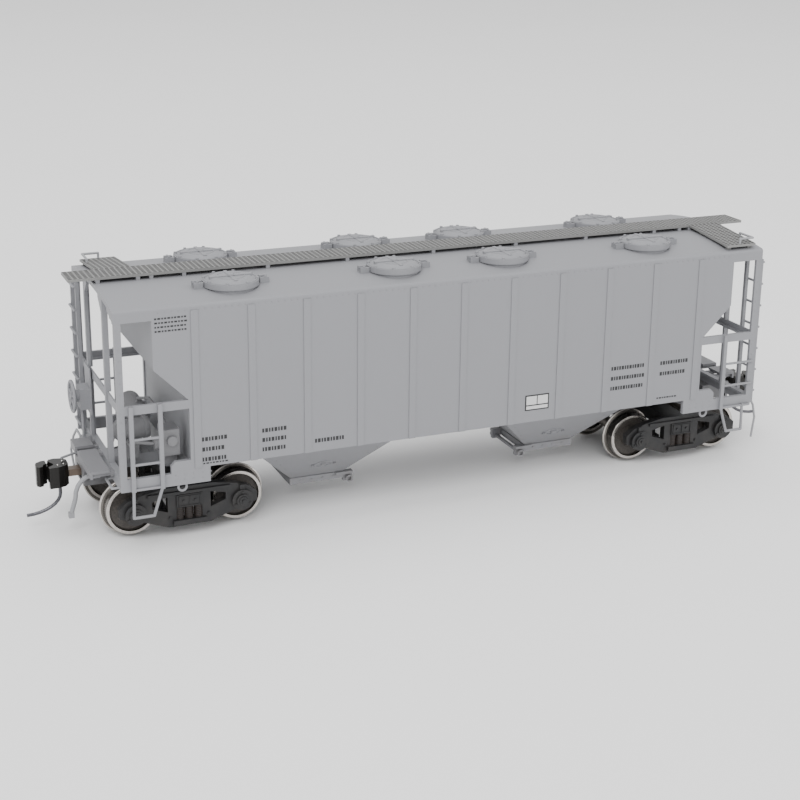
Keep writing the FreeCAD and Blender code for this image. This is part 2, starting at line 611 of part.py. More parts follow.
def end_sill():
    y = HALF_WIDTH - SILL_THICKNESS
    face = box(CAGE_X - POST_THICKNESS, CAGE_X, -y, y, SILL_BOTTOM_Z + 0.1, SILL_TOP_Z)
    back = box(CAGE_X - POST_LEG, CAGE_X - POST_THICKNESS, -y, y,
               SILL_TOP_Z - 0.6, SILL_TOP_Z)
    whole = fuse([face, back])
    x = TRUCK_X + WHEELBASE / 2
    inside, outside = BACK_TO_BACK / 2 - WHEEL_ROOM, BACK_TO_BACK / 2 + WHEEL_WIDTH + WHEEL_ROOM
    for side in (-1, 1):
        whole = whole.cut(rod((x, side * inside, AXLE_Z), (x, side * outside, AXLE_Z),
                              FLANGE_R + WHEEL_ROOM))
    return whole


def end_post(y):
    """An upright between the end sill and the roof, at end B."""
    way = 1 if y > 0 else -1
    x_in = CAGE_X - END_POST_LEG
    leg = box(x_in, CAGE_X, y, y - way * POST_THICKNESS, SILL_TOP_Z, RIDGE_Z)
    turn = box(CAGE_X - POST_THICKNESS, CAGE_X, y, y - way * END_POST_LEG,
               SILL_TOP_Z, RIDGE_Z)
    knee = plate_yz([(y, EAVE_Z - 3.6), (y, RIDGE_Z), (y - way * 3.2, RIDGE_Z),
                     (y - way * 3.2, EAVE_Z - 0.4)], CAGE_X - POST_THICKNESS, CAGE_X)
    rail_gap = box(CAGE_X - END_POST_LEG, CAGE_X - POST_THICKNESS / 2, -HALF_WIDTH, HALF_WIDTH,
                   RAIL_LOW_Z, RAIL_HIGH_Z)
    return fuse([leg, turn, knee]).common(below_roof()).cut(rail_gap)


def end_rail():
    """The level bar across the end, let into the back of the uprights, at end B."""
    y = HALF_WIDTH - POST_LEG
    x_in = CAGE_X - END_POST_LEG
    web = box(CAGE_X - POST_THICKNESS, CAGE_X - POST_THICKNESS / 2, -y, y, RAIL_LOW_Z, RAIL_HIGH_Z)
    flange = box(x_in, CAGE_X - POST_THICKNESS, -y, y, RAIL_LOW_Z, RAIL_LOW_Z + 0.5)
    return fuse([web, flange])


def rung_heights(first, count, pitch):
    return [first + pitch * number for number in range(count)]


def side_ladder(full):
    """A side ladder and its stirrup step, at end B on the +Y side.
    The full one has two stiles; the other hangs its rungs from the corner post."""
    y0, y1 = HALF_WIDTH, HALF_WIDTH + LADDER_THICKNESS
    mid = (y0 + y1) / 2
    half = LADDER_STILE / 2
    inner, outer = LADDER_X
    pieces = [box(inner - half, inner + half, y0, y1, SILL_BOTTOM_Z, RAIL_HIGH_Z)]
    if full:
        pieces.append(box(outer - half, outer + half, y0, y1, SILL_BOTTOM_Z, RAIL_HIGH_Z))
        rung_end = outer
    else:
        rung_end = CAGE_X - POST_LEG / 2
    heights = rung_heights(SILL_BOTTOM_Z + 0.3, 3, RUNG_PITCH)
    for z in heights:
        pieces.append(rod((inner, mid, z), (rung_end, mid, z), RUNG_R))
        if not full:
            pieces.append(rod((rung_end, y0, z), (rung_end, mid, z), RUNG_R))
            pieces.append(Part.makeSphere(RUNG_R, Vector(rung_end, mid, z)))
    step_in, step_out = STIRRUP_X
    pieces.append(wire_bar([(inner, mid, SILL_BOTTOM_Z + 0.3), (step_in, mid, STIRRUP_STEP_Z),
                            (step_out, mid, STIRRUP_STEP_Z),
                            (outer, mid, SILL_BOTTOM_Z + 0.3)], RUNG_R * 1.15))
    if not full:
        pieces.append(box(outer - half / 2, outer + half / 2, y0, y1,
                          SILL_BOTTOM_Z, SILL_BOTTOM_Z + 0.7))
    return fuse(pieces)


def end_ladder():
    """The ladder at end B on the -Y side, standing off the cage."""
    x0 = CAGE_X
    x1 = CAGE_X + END_LADDER_DEPTH - 0.3
    rung_x = CAGE_X + END_LADDER_DEPTH
    pieces = []
    top = FASCIA_Z
    for y in END_STILE_Y:
        pieces.append(box(x0, x1, -y - END_STILE_WIDTH / 2, -y + END_STILE_WIDTH / 2,
                          SILL_BOTTOM_Z + 0.4, top))
    for z in rung_heights(END_LADDER_FIRST_Z, END_LADDER_RUNGS, END_LADDER_PITCH):
        low, high = END_STILE_Y
        pieces.append(wire_bar([(x0 + 0.2, -low, z), (rung_x, -low, z), (rung_x, -high, z),
                                (x0 + 0.2, -high, z)], RUNG_R))
    return fuse(pieces)


# ---- underframe -----------------------------------------------------------------------
def centre_sill():
    y = CENTRE_SILL_HALF
    low = CENTRE_SILL_LOW_HALF
    over = TRUCK_X - BOLSTER_HALF
    middle = plate_xz([(-over, CENTRE_SILL_TOP_Z), (-over, CENTRE_SILL_HIGH_Z),
                       (-low, CENTRE_SILL_HIGH_Z), (-low, CENTRE_SILL_LOW_Z),
                       (low, CENTRE_SILL_LOW_Z), (low, CENTRE_SILL_HIGH_Z),
                       (over, CENTRE_SILL_HIGH_Z), (over, CENTRE_SILL_TOP_Z)], -y, y)
    channel = box(-low + 1, low - 1, -y + 0.6, y - 0.6, CENTRE_SILL_LOW_Z - 1,
                  CENTRE_SILL_TOP_Z - 0.9)
    stub = box(TRUCK_X + BOLSTER_HALF, DRAFT_BOX[0], -y, y, CENTRE_SILL_HIGH_Z, CENTRE_SILL_TOP_Z)
    return group([middle.cut(channel)] + both_ends(stub))


def body_bolster():
    """The cross beam over a truck, with its centre plate and its web to the slope sheet."""
    x, half = TRUCK_X, BOLSTER_HALF
    beam = plate_yz([(-INNER_Y, BOLSTER_TOP_Z), (-INNER_Y, BOLSTER_TOP_Z - 1.6),
                     (-4.5, BOLSTER_BOTTOM_Z), (4.5, BOLSTER_BOTTOM_Z),
                     (INNER_Y, BOLSTER_TOP_Z - 1.6), (INNER_Y, BOLSTER_TOP_Z)],
                    x - half, x + half)
    pad = Part.makeCylinder(CENTRE_PLATE_R, BOLSTER_BOTTOM_Z - CENTRE_PLATE_Z + 0.5,
                            Vector(x, 0, CENTRE_PLATE_Z))
    stub_room = box(x + half, x + 3 * half, -CENTRE_SILL_HALF, CENTRE_SILL_HALF,
                    CENTRE_SILL_HIGH_Z, CENTRE_SILL_TOP_Z)
    sill_room = box(x - 3 * half, x - half, -CENTRE_SILL_HALF, CENTRE_SILL_HALF,
                    CENTRE_SILL_HIGH_Z, CENTRE_SILL_TOP_Z)
    web = box(x - BOLSTER_WEB / 2, x + BOLSTER_WEB / 2, -INNER_Y, INNER_Y,
              BOLSTER_TOP_Z, SLOPE_TOP_Z)
    drop = SLOPE_TOP_Z - SHEET_HALF_LENGTH * END_SLOPE
    above = plate_xz([(0, drop), (2 * SHEET_HALF_LENGTH, drop + 2 * SHEET_HALF_LENGTH * END_SLOPE),
                      (0, drop + 2 * SHEET_HALF_LENGTH * END_SLOPE)], -HALF_WIDTH, HALF_WIDTH)
    bore = rod((x, 0, CENTRE_PLATE_Z), (x, 0, CENTRE_PLATE_Z + KINGPIN_DEPTH), KINGPIN_R)
    whole = fuse([beam, pad, web.cut(above)])
    for hole in (bore, stub_room, sill_room):
        whole = whole.cut(hole)
    return whole


def kingpin_screw():
    """The screw that a truck swivels on: its head is in the truck bolster's recess."""
    x = TRUCK_X
    head_top = TRUCK_BOLSTER_BOTTOM_Z + KINGPIN_HEAD
    stem = rod((x, 0, head_top), (x, 0, CENTRE_PLATE_Z + KINGPIN_DEPTH), KINGPIN_R)
    head = rod((x, 0, head_top - KINGPIN_HEAD + 0.1), (x, 0, head_top), KINGPIN_HEAD_R)
    slot = box(x - KINGPIN_HEAD_R, x + KINGPIN_HEAD_R, -0.25, 0.25,
               head_top - KINGPIN_HEAD, head_top - KINGPIN_HEAD + 0.5)
    return fuse([stem, head]).cut(slot)


def ballast_weight():
    """The steel bar inside the body, resting on the peak between the bays."""
    low = PEAK_Z + BAY_WALL * math.sqrt(2)
    return box(-WEIGHT_HALF_LENGTH, WEIGHT_HALF_LENGTH, -WEIGHT_HALF_WIDTH, WEIGHT_HALF_WIDTH,
               low, low + WEIGHT_THICKNESS)


# ---- trucks ---------------------------------------------------------------------------
def bearing_pocket(x):
    """The cone-ended hole that an axle end turns in, on both sides of the truck."""
    tip = AXLE_LENGTH / 2 + AXLE_CLEARANCE * 2
    r0 = AXLE_R + AXLE_CLEARANCE
    start = AXLE_LENGTH / 2 - AXLE_CONE_LENGTH
    cone = Part.makeCone(r0, AXLE_TIP_R + AXLE_CLEARANCE, tip - start,
                         Vector(x, start, AXLE_Z), Vector(0, 1, 0))
    sleeve = rod((x, 0, AXLE_Z), (x, start, AXLE_Z), r0)
    return fuse([cone, sleeve])


def sideframe():
    """One truck side at end B on the +Y side: chords, columns, springs and journal boxes."""
    half_base = WHEELBASE / 2
    y0, y1 = FRAME_INNER_Y, FRAME_INNER_Y + FRAME_THICKNESS
    end = half_base + JOURNAL_R + 0.9
    neck = FRAME_Z + 1.2
    outline = [(-WINDOW_HALF - 1.2, CHORD_TOP), (WINDOW_HALF + 1.2, CHORD_TOP),
               (half_base - 1.4, CHORD_TOP - 0.7), (end - 1.6, neck + 1.3), (end, neck),
               (end, FRAME_Z - 0.6), (half_base - 1.2, FRAME_Z - JOURNAL_R + 0.2),
               (WINDOW_HALF + 0.6, SPRING_SEAT_Z - 1.3), (-WINDOW_HALF - 0.6, SPRING_SEAT_Z - 1.3),
               (-half_base + 1.2, FRAME_Z - JOURNAL_R + 0.2), (-end, FRAME_Z - 0.6), (-end, neck),
               (-end + 1.6, neck + 1.3), (-half_base + 1.4, CHORD_TOP - 0.7)]
    body = plate_xz([(TRUCK_X + x, z) for x, z in outline], y0, y1)
    window = box(TRUCK_X - WINDOW_HALF + 0.9, TRUCK_X + WINDOW_HALF - 0.9, y0, y1,
                 SPRING_SEAT_Z, CHORD_TOP - CHORD_DEPTH)
    cuts = [window]
    for way in (-1, 1):
        hole = [(way * (WINDOW_HALF + 0.7), CHORD_TOP - CHORD_DEPTH - 0.2),
                (way * (half_base - JOURNAL_R - 1.0), CHORD_TOP - CHORD_DEPTH - 0.8),
                (way * (half_base - JOURNAL_R - 1.1), FRAME_Z + 0.4),
                (way * (WINDOW_HALF + 0.7), FRAME_Z - 0.6)]
        cuts.append(plate_xz([(TRUCK_X + x, z) for x, z in hole], y0, y1))
    for cut in cuts:
        body = body.cut(cut)
    pieces = [body]
    for way in (-1, 1):
        x = TRUCK_X + way * half_base
        pieces.append(rod((x, y0, FRAME_Z), (x, y1 + JOURNAL_PROUD, FRAME_Z), JOURNAL_R))
        pieces.append(rod((x, y1, FRAME_Z), (x, y1 + JOURNAL_PROUD + 0.35, FRAME_Z), JOURNAL_R * 0.6))
        rib = box(x - 0.45, x + 0.45, y1, y1 + 0.4, FRAME_Z, FRAME_Z + JOURNAL_R + 0.9)
        pieces.append(rib)
    chord_rib = box(TRUCK_X - half_base + 2.2, TRUCK_X + half_base - 2.2, y1, y1 + 0.35,
                    CHORD_TOP - 1.35, CHORD_TOP - 0.8)
    seat = box(TRUCK_X - WINDOW_HALF + 0.2, TRUCK_X + WINDOW_HALF - 0.2, y1, y1 + 0.6,
               SPRING_SEAT_Z - 0.9, SPRING_SEAT_Z)
    pieces += [chord_rib, seat]
    for offset in (-1.75, 0, 1.75):
        x = TRUCK_X + offset
        pieces.append(rod((x, y1 - 0.55, SPRING_SEAT_Z), (x, y1 - 0.55, SPRING_TOP_Z), SPRING_R))
    bolster_end = box(TRUCK_X - WINDOW_HALF + 0.9, TRUCK_X + WINDOW_HALF - 0.9,
                      y0, y1 + 0.3, SPRING_TOP_Z, CHORD_TOP - CHORD_DEPTH)
    pieces.append(bolster_end)
    whole = fuse(pieces)
    for way in (-1, 1):
        whole = whole.cut(bearing_pocket(TRUCK_X + way * half_base))
    return whole


def truck_bolster():
    x = TRUCK_X
    top = CENTRE_PLATE_Z - CENTRE_PLATE_GAP
    beam = box(x - TRUCK_BOLSTER_HALF, x + TRUCK_BOLSTER_HALF, -FRAME_INNER_Y, FRAME_INNER_Y,
               TRUCK_BOLSTER_BOTTOM_Z, TRUCK_BOLSTER_TOP_Z)
    pad = rod((x, 0, TRUCK_BOLSTER_TOP_Z), (x, 0, top), CENTRE_PLATE_R)
    bore = rod((x, 0, 0), (x, 0, top + 1), KINGPIN_R + KINGPIN_CLEARANCE)
    recess = rod((x, 0, 0), (x, 0, TRUCK_BOLSTER_BOTTOM_Z + KINGPIN_HEAD + 0.1),
                 KINGPIN_HEAD_R + 0.15)
    return fuse([beam, pad]).cut(bore).cut(recess)


def wheel(x, side):
    """One wheel: tread, flange, dished plate and hub, turned about the axle."""
    back = BACK_TO_BACK / 2
    face = back + WHEEL_WIDTH
    # radius and distance from the car's centre line, round the section
    section = [(AXLE_R, back + 0.1), (2.0, back + 0.1), (2.3, back + 0.8),
               (TREAD_R - 0.95, back + 0.8), (TREAD_R - 0.6, back), (FLANGE_R - 0.25, back),
               (FLANGE_R, back + 0.2), (FLANGE_R, back + FLANGE_WIDTH - 0.3),
               (TREAD_R + 0.1, back + FLANGE_WIDTH), (TREAD_R, back + FLANGE_WIDTH + 0.35),
               (TREAD_R - 0.05, face - 0.15), (TREAD_R - 0.2, face), (TREAD_R - 0.7, face),
               (TREAD_R - 0.95, face - 0.75), (2.2, face - 1.0), (1.9, face - 0.15),
               (AXLE_R, face - 0.15)]
    loop = [Vector(x, side * y, AXLE_Z + r) for r, y in section]
    face_shape = Part.Face(Part.makePolygon(loop + loop[:1]))
    return face_shape.revolve(Vector(x, 0, AXLE_Z), Vector(0, 1, 0), 360)


def wheels(x):
    return group([wheel(x, side) for side in (-1, 1)])


def axle(x):
    start = AXLE_LENGTH / 2 - AXLE_CONE_LENGTH
    pieces = [rod((x, -start, AXLE_Z), (x, start, AXLE_Z), AXLE_R)]
    for side in (-1, 1):
        pieces.append(Part.makeCone(AXLE_R, AXLE_TIP_R, AXLE_CONE_LENGTH,
                                    Vector(x, side * start, AXLE_Z), Vector(0, side, 0)))
    return fuse(pieces)


# ---- couplers and draft gear (end B) --------------------------------------------------
def mouth_half():
    """Half the width of the box's mouth, set so that the shank stops on it."""
    reach = DRAFT_BOX[1] - COUPLER_PIVOT_X
    swing = math.radians(COUPLER_SWING)
    return reach * math.tan(swing) + SHANK_HALF / math.cos(swing) + MOUTH_CLEARANCE


def draft_box():
    """The coupler's box, open at the bottom and, through its mouth, at the front."""
    x0, x1 = DRAFT_BOX
    low = COUPLER_Z - DRAFT_BOX_HEIGHT / 2
    high = COUPLER_Z + DRAFT_BOX_HEIGHT / 2
    half = DRAFT_BOX_HALF
    outer = box(x0, x1, -half, half, low, high)
    hollow = box(x0 + DRAFT_WALL, x1 - DRAFT_WALL, -half + DRAFT_WALL, half - DRAFT_WALL,
                 low - 1, high - DRAFT_WALL)
    striker = box(x1 - DRAFT_WALL, x1, -half - 0.5, half + 0.5, low, high + 0.5)
    mouth = box(x1 - 2 * DRAFT_WALL, x1 + 1, -mouth_half(), mouth_half(),
                low - 1, high - DRAFT_WALL)
    post = rod((COUPLER_PIVOT_X, 0, low), (COUPLER_PIVOT_X, 0, high - DRAFT_WALL / 2),
               COUPLER_POST_R)
    bore = rod((COUPLER_PIVOT_X, 0, low - 1), (COUPLER_PIVOT_X, 0, high - DRAFT_WALL),
               LID_SCREW_R)
    shell = fuse([outer, striker]).cut(hollow).cut(mouth)
    return fuse([shell, post]).cut(bore)


def draft_lid():
    """The lid under the box, with a raised ring that the coupler's eye rests on."""
    x0, x1 = DRAFT_BOX
    low = COUPLER_Z - DRAFT_BOX_HEIGHT / 2
    plate = box(x0, x1, -DRAFT_BOX_HALF, DRAFT_BOX_HALF, low - DRAFT_LID, low)
    ring_top = COUPLER_Z - SHANK_HEIGHT / 2 - COUPLER_POST_CLEARANCE
    ring = rod((COUPLER_PIVOT_X, 0, low - DRAFT_LID / 2), (COUPLER_PIVOT_X, 0, ring_top),
               SHANK_EYE_R)
    post_room = rod((COUPLER_PIVOT_X, 0, low), (COUPLER_PIVOT_X, 0, ring_top + 1),
                    COUPLER_POST_R)
    bore = rod((COUPLER_PIVOT_X, 0, low - 2), (COUPLER_PIVOT_X, 0, low + 1), LID_SCREW_R)
    return fuse([plate, ring]).cut(post_room).cut(bore)


def lid_screw():
    low = COUPLER_Z - DRAFT_BOX_HEIGHT / 2 - DRAFT_LID
    head = rod((COUPLER_PIVOT_X, 0, low - 0.55), (COUPLER_PIVOT_X, 0, low), 1.0)
    stem = rod((COUPLER_PIVOT_X, 0, low), (COUPLER_PIVOT_X, 0, COUPLER_Z + 0.5), LID_SCREW_R)
    slot = box(COUPLER_PIVOT_X - 1, COUPLER_PIVOT_X + 1, -0.15, 0.15, low - 0.6, low - 0.3)
    return fuse([head, stem]).cut(slot)


def centring_spring():
    """The sprung plate over the shank, which pushes it back to the middle."""
    z1 = COUPLER_Z + DRAFT_BOX_HEIGHT / 2 - DRAFT_WALL
    z0 = z1 - SPRING_PLATE
    half = DRAFT_BOX_HALF - DRAFT_WALL
    plate = box(DRAFT_BOX[0] + DRAFT_WALL, COUPLER_PIVOT_X + 1.3, -half, half, z0, z1)
    post_room = rod((COUPLER_PIVOT_X, 0, z0 - 1), (COUPLER_PIVOT_X, 0, z1 + 1), COUPLER_POST_R)
    return plate.cut(post_room)


def jaw_heights():
    """Bottom and top of the space between the head's jaws."""
    half = HEAD_HEIGHT / 2 - HEAD_JAW
    return COUPLER_Z - half, COUPLER_Z + half


def coupler_head():
    """The shank and head casting, which swings on the draft box's post."""
    z0, z1 = COUPLER_Z - SHANK_HEIGHT / 2, COUPLER_Z + SHANK_HEIGHT / 2
    eye = rod((COUPLER_PIVOT_X, 0, z0), (COUPLER_PIVOT_X, 0, z1), SHANK_EYE_R)
    bore = rod((COUPLER_PIVOT_X, 0, z0 - 1), (COUPLER_PIVOT_X, 0, z1 + 1),
               COUPLER_POST_R + COUPLER_POST_CLEARANCE)
    shank = box(COUPLER_PIVOT_X, HEAD_X + 0.4, -SHANK_HALF, SHANK_HALF, z0, z1)
    h0, h1 = COUPLER_Z - HEAD_HEIGHT / 2, COUPLER_Z + HEAD_HEIGHT / 2
    px, py = KNUCKLE_PIVOT
    outline = [(HEAD_X, -1.0), (HEAD_X + 0.7, -1.9), (px - 0.3, py - 0.95), (px + 0.6, py - 0.75),
               (px + 0.95, py), (px + 0.6, py + 0.75), (px + 0.1, 0.5), (px + 0.3, 1.0),
               (px + 1.25, 1.8), (px + 1.2, 2.6), (px - 0.5, 2.5), (HEAD_X + 0.7, 2.0),
               (HEAD_X, 1.0)]
    head = plate_xy(outline, h0, h1)
    low, high = jaw_heights()
    pocket = plate_xy([(HEAD_X + 0.8, -HEAD_HEIGHT), (px + 4, -HEAD_HEIGHT), (px + 4, 1.0),
                       (HEAD_X + 0.8, 1.0)], low, high)
    pin = rod((px, py, h0), (px, py, h1), KNUCKLE_PIN_R)
    whole = fuse([fuse([eye, shank, head]).cut(pocket), pin]).cut(bore)
    return whole.cut(trip_pin_slot(h0 - 1, low + 0.1))


def trip_pin_slot(z0, z1):
    """The curved slot that the trip pin moves along as the knuckle opens."""
    px, py = KNUCKLE_PIVOT
    reach = math.hypot(TRIP_PIN_PLACE[0] - px, TRIP_PIN_PLACE[1] - py)
    half = TRIP_PIN_R + TRIP_PIN_CLEARANCE
    start = math.atan2(TRIP_PIN_PLACE[1] - py, TRIP_PIN_PLACE[0] - px)
    end = start - math.radians(KNUCKLE_SWING)
    ring = Part.makeCylinder(reach + half, z1 - z0, Vector(px, py, z0))
    ring = ring.cut(Part.makeCylinder(reach - half, z1 - z0, Vector(px, py, z0)))
    far = 3 * reach
    wedge = plate_xy([(px, py), (px + far * math.cos(start), py + far * math.sin(start)),
                      (px + far * math.cos(end), py + far * math.sin(end))], z0, z1)
    ends = [Part.makeCylinder(half, z1 - z0, Vector(px + reach * math.cos(angle),
                                                    py + reach * math.sin(angle), z0))
            for angle in (start, end)]
    return fuse([ring.common(wedge)] + ends)


def knuckle():
    """The hooked jaw, which swings on the head's pin, with its tail behind the pin."""
    px, py = KNUCKLE_PIVOT
    low, high = jaw_heights()
    z0, z1 = low + KNUCKLE_GAP, high - KNUCKLE_GAP
    face = HEAD_FACE_X
    hub = rod((px, py, z0), (px, py, z1), 0.85)
    arm = plate_xy([(px, py - 0.8), (face - 1.2, py - 0.75), (face - 1.2, py + 0.9),
                    (px, py + 0.8)], z0, z1)
    tx, ty = TRIP_PIN_PLACE
    reach = math.hypot(tx - px, ty - py)
    side_x, side_y = (ty - py) / reach * 0.5, (px - tx) / reach * 0.5
    tail = plate_xy([(px + side_x, py + side_y), (px - side_x, py - side_y),
                     (tx - side_x, ty - side_y), (tx + side_x, ty + side_y)], z0, z1)
    tail_end = rod((tx, ty, z0), (tx, ty, z1), 0.5)
    hook = plate_xy([(px + 1.25, py - 0.76), (face - 1.2, py - 0.75), (face - 0.25, py - 0.1),
                     (face, py + 0.7), (face, py + 2.0), (face - 0.5, py + 2.5),
                     (face - 1.15, py + 2.2), (face - 1.35, py + 1.35),
                     (px + 1.25, py + 0.95)],
                    COUPLER_Z - HEAD_HEIGHT / 2 + 0.1, COUPLER_Z + HEAD_HEIGHT / 2 - 0.1)
    bore = rod((px, py, z0 - 3), (px, py, z1 + 3), KNUCKLE_PIN_R + KNUCKLE_PIN_CLEARANCE)
    socket = rod((tx, ty, z0 - 1), (tx, ty, COUPLER_Z), TRIP_PIN_R)
    return fuse([hub, arm, tail, tail_end, hook]).cut(bore).cut(socket)


def trip_pin():
    """The steel wire that hangs from the knuckle's tail and sweeps forward."""
    x, y = TRIP_PIN_PLACE
    reach = TRIP_PIN_REACH - x
    sweep = TRIP_PIN_BEND_Z - TRIP_PIN_LOW_Z - TRIP_PIN_R
    steps = 8
    points = [(x, y, COUPLER_Z)]
    for number in range(steps + 1):
        angle = math.pi / 2 * number / steps
        points.append((x + reach * (1 - math.cos(angle)), y,
                       TRIP_PIN_BEND_Z - sweep * math.sin(angle)))
    return wire_bar(points, TRIP_PIN_R)


# ---- fittings -------------------------------------------------------------------------
def end_step(start, end):
    """One step plate over the coupler, with its brackets, at end B from start to end
    along Y."""
    x0, x1 = STEP_X
    way = 1 if end > start else -1
    pieces = [box(x0, x1, start, end, STEP_Z, STEP_Z + STEP_THICKNESS),
              box(x1 - 0.4, x1, start, end, STEP_Z - STEP_LIP, STEP_Z)]
    for y in (start + way * 0.9, end - way * 0.9):
        pieces.append(box(CAGE_X, x1 - 0.4, y - 0.35, y + 0.35, STEP_Z - 0.7, STEP_Z))
    return fuse(pieces)


def sill_grab():
    """The wire hand grab on the end sill at end B, on the +Y side."""
    x = CAGE_X + SILL_GRAB_STAND
    z = SILL_BOTTOM_Z + 0.6
    low, high = SILL_GRAB_Y
    return wire_bar([(CAGE_X, low, z), (x, low, z), (x, high, z), (CAGE_X, high, z)],
                    GRAB_WIRE / 2)


def brake_wheel():
    """The hand wheel at end A: rim, five spokes and hub."""
    x = -BRAKE_WHEEL_X
    centre = Vector(x, BRAKE_WHEEL_Y, BRAKE_WHEEL_Z)
    rim = Part.makeTorus(BRAKE_WHEEL_R - 0.3, 0.3, centre, Vector(1, 0, 0))
    hub = rod((x - 0.35, centre.y, centre.z), (x + 0.45, centre.y, centre.z), 0.6)
    pieces = [rim, hub]
    for number in range(5):
        angle = math.radians(90 + 72 * number)
        reach = BRAKE_WHEEL_R - 0.3
        tip = (x, centre.y + reach * math.cos(angle), centre.z + reach * math.sin(angle))
        pieces.append(rod((x, centre.y, centre.z), tip, 0.2))
    return fuse(pieces)


def brake_gearbox():
    """The winding gear's housing behind the hand wheel, on its bracket to the end rail."""
    x_back = -CAGE_X
    x_front = -BRAKE_WHEEL_X + 0.45
    y, z = BRAKE_WHEEL_Y, BRAKE_WHEEL_Z
    case = box(x_front + 0.7, x_back - 0.25, y - 1.9, y + 1.9, z - 2.3, z + 1.7)
    hub = rod((x_front, y, z), (x_front + 0.9, y, z), 1.1)
    plate = box(x_back - 0.25, x_back, y - 2.3, y + 2.3, z - 3.4, RAIL_HIGH_Z + 0.4)
    return fuse([case, hub, plate])


def brake_rod():
    """The rod from the gearbox down to its bell crank on the end sill."""
    x = -CAGE_X - 1.4
    y = BRAKE_WHEEL_Y
    z = LEVER_Z + GRAB_WIRE / 2 + 0.75
    bar = rod((x, y, z), (x, y, BRAKE_WHEEL_Z - 2.3), 0.3)
    crank = box(x - 0.5, -CAGE_X, y - 0.45, y + 0.45, z - 0.6, z + 0.4)
    return fuse([bar, crank])


def brake_cylinder():
    """The brake cylinder, lying along the car on a stand on the centre sill."""
    x, y, z = 6.8 - CAGE_X, -3.6, 18.6
    drum = rod((x - 4.2, y, z), (x + 1.6, y, z), CYLINDER_R)
    flange = rod((x + 0.6, y, z), (x + 1.1, y, z), CYLINDER_R + 0.35)
    nose = Part.makeCone(CYLINDER_R, 0.7, 1.2, Vector(x - 4.2, y, z), Vector(-1, 0, 0))
    stand = box(x - 3.0, x - 0.4, y - 0.6, y + 0.6, CENTRE_SILL_TOP_Z, z - 1)
    foot = box(x - 3.0, x - 0.4, y - 0.6, CENTRE_SILL_HALF,
               CENTRE_SILL_TOP_Z, CENTRE_SILL_TOP_Z + 0.6)
    return fuse([drum, flange, nose, stand, foot])


def air_reservoir():
    """The air tank, lying across the car on a stand on the centre sill."""
    x, y, z = 8.0 - CAGE_X, 5.4, 19.2
    tank = rod((x, y - 3.9, z), (x, y + 4.6, z), RESERVOIR_R)
    caps = [Part.makeCone(RESERVOIR_R, 1.2, 0.5, Vector(x, y + end, z), Vector(0, way, 0))
            for end, way in ((-3.9, -1), (4.6, 1))]
    stand = box(x - 0.6, x + 0.6, y - 2.6, y + 3.2, CENTRE_SILL_TOP_Z, z - 1)
    foot = box(x - 0.6, x + 0.6, -CENTRE_SILL_HALF, y - 2.6,
               CENTRE_SILL_TOP_Z, CENTRE_SILL_TOP_Z + 0.6)
    return fuse([tank, stand, foot] + caps)


def control_valve():
    """The brake valve, on a bracket that is fixed to the body bolster."""
    x, y, z = 9.8 - CAGE_X, 4.7 - HALF_WIDTH, 18.2
    body = box(x - 1.5, x + 1.4, y - 2.6, y + 1.6, z - 1.2, z + 3.6)
    side = rod((x - 1.5, y - 0.4, z + 0.6), (x - 2.7, y - 0.4, z + 0.6), 1.1)
    cap = rod((x, y - 2.6, z + 1.6), (x, y - 3.2, z + 1.6), 0.9)
    post = box(x - 1.2, x + 1.1, y - 1.6, y + 1.2, BOLSTER_TOP_Z, z - 1.2)
    foot = box(x - 1.2, -TRUCK_X, y - 1.6, y + 1.2, BOLSTER_TOP_Z, BOLSTER_TOP_Z + 0.5)
    foot = foot.cut(box(-TRUCK_X - BOLSTER_WEB / 2, 0, -HALF_WIDTH, HALF_WIDTH, 0, EAVE_Z))
    return fuse([body, side, cap, post, foot])


def brake_pipes():
    """Pipe runs between the brake cylinder, the tank and the valve."""
    x, y = -CAGE_X, -HALF_WIDTH
    runs = [
        [(x + 7.2, y + 4.3, 18.8), (x + 4.3, y + 5.9, 18.8), (x + 4.3, -8.2, 16.4),
         (x + 4.3, -4.4, 16.4), (x + 4.3, -4.4, 17.6)],
        [(x + 9.8, y + 6.1, 21.0), (x + 9.8, -6.8, 22.4), (x + 9.8, 1.2, 22.4),
         (x + 8.0, 3.2, 22.0), (x + 8.0, 3.2, 20.6)],
    ]
    pipes = [wire_bar(run, PIPE_R) for run in runs]
    for fitting in (brake_cylinder(), air_reservoir(), control_valve()):
        pipes = [pipe.cut(fitting) for pipe in pipes]
    return group(pipes)


def uncoupling_lever():
    """The bent wire lever along the end sill at end B, its handle on the -Y side."""
    x = CAGE_X + SILL_GRAB_STAND
    z = LEVER_Z
    handle_y = -HALF_WIDTH + 1.3
    points = [(HEAD_X + 0.9, -0.6, z + 0.2), (DRAFT_BOX[1] + 0.4, -2.4, z + 0.1),
              (x, -4.8, z), (x, handle_y + 0.9, z), (x + 0.5, handle_y, z - 1.6),
              (x + 1.1, handle_y, z - 4.3), (x + 0.6, handle_y, z - 8.6)]
    bar = wire_bar(points, GRAB_WIRE / 2)
    eyes = [box(CAGE_X, x + 0.35, y - 0.3, y + 0.3, z - 0.4, z + 0.4) for y in (-6.0, -10.6)]
    return fuse([bar] + eyes)


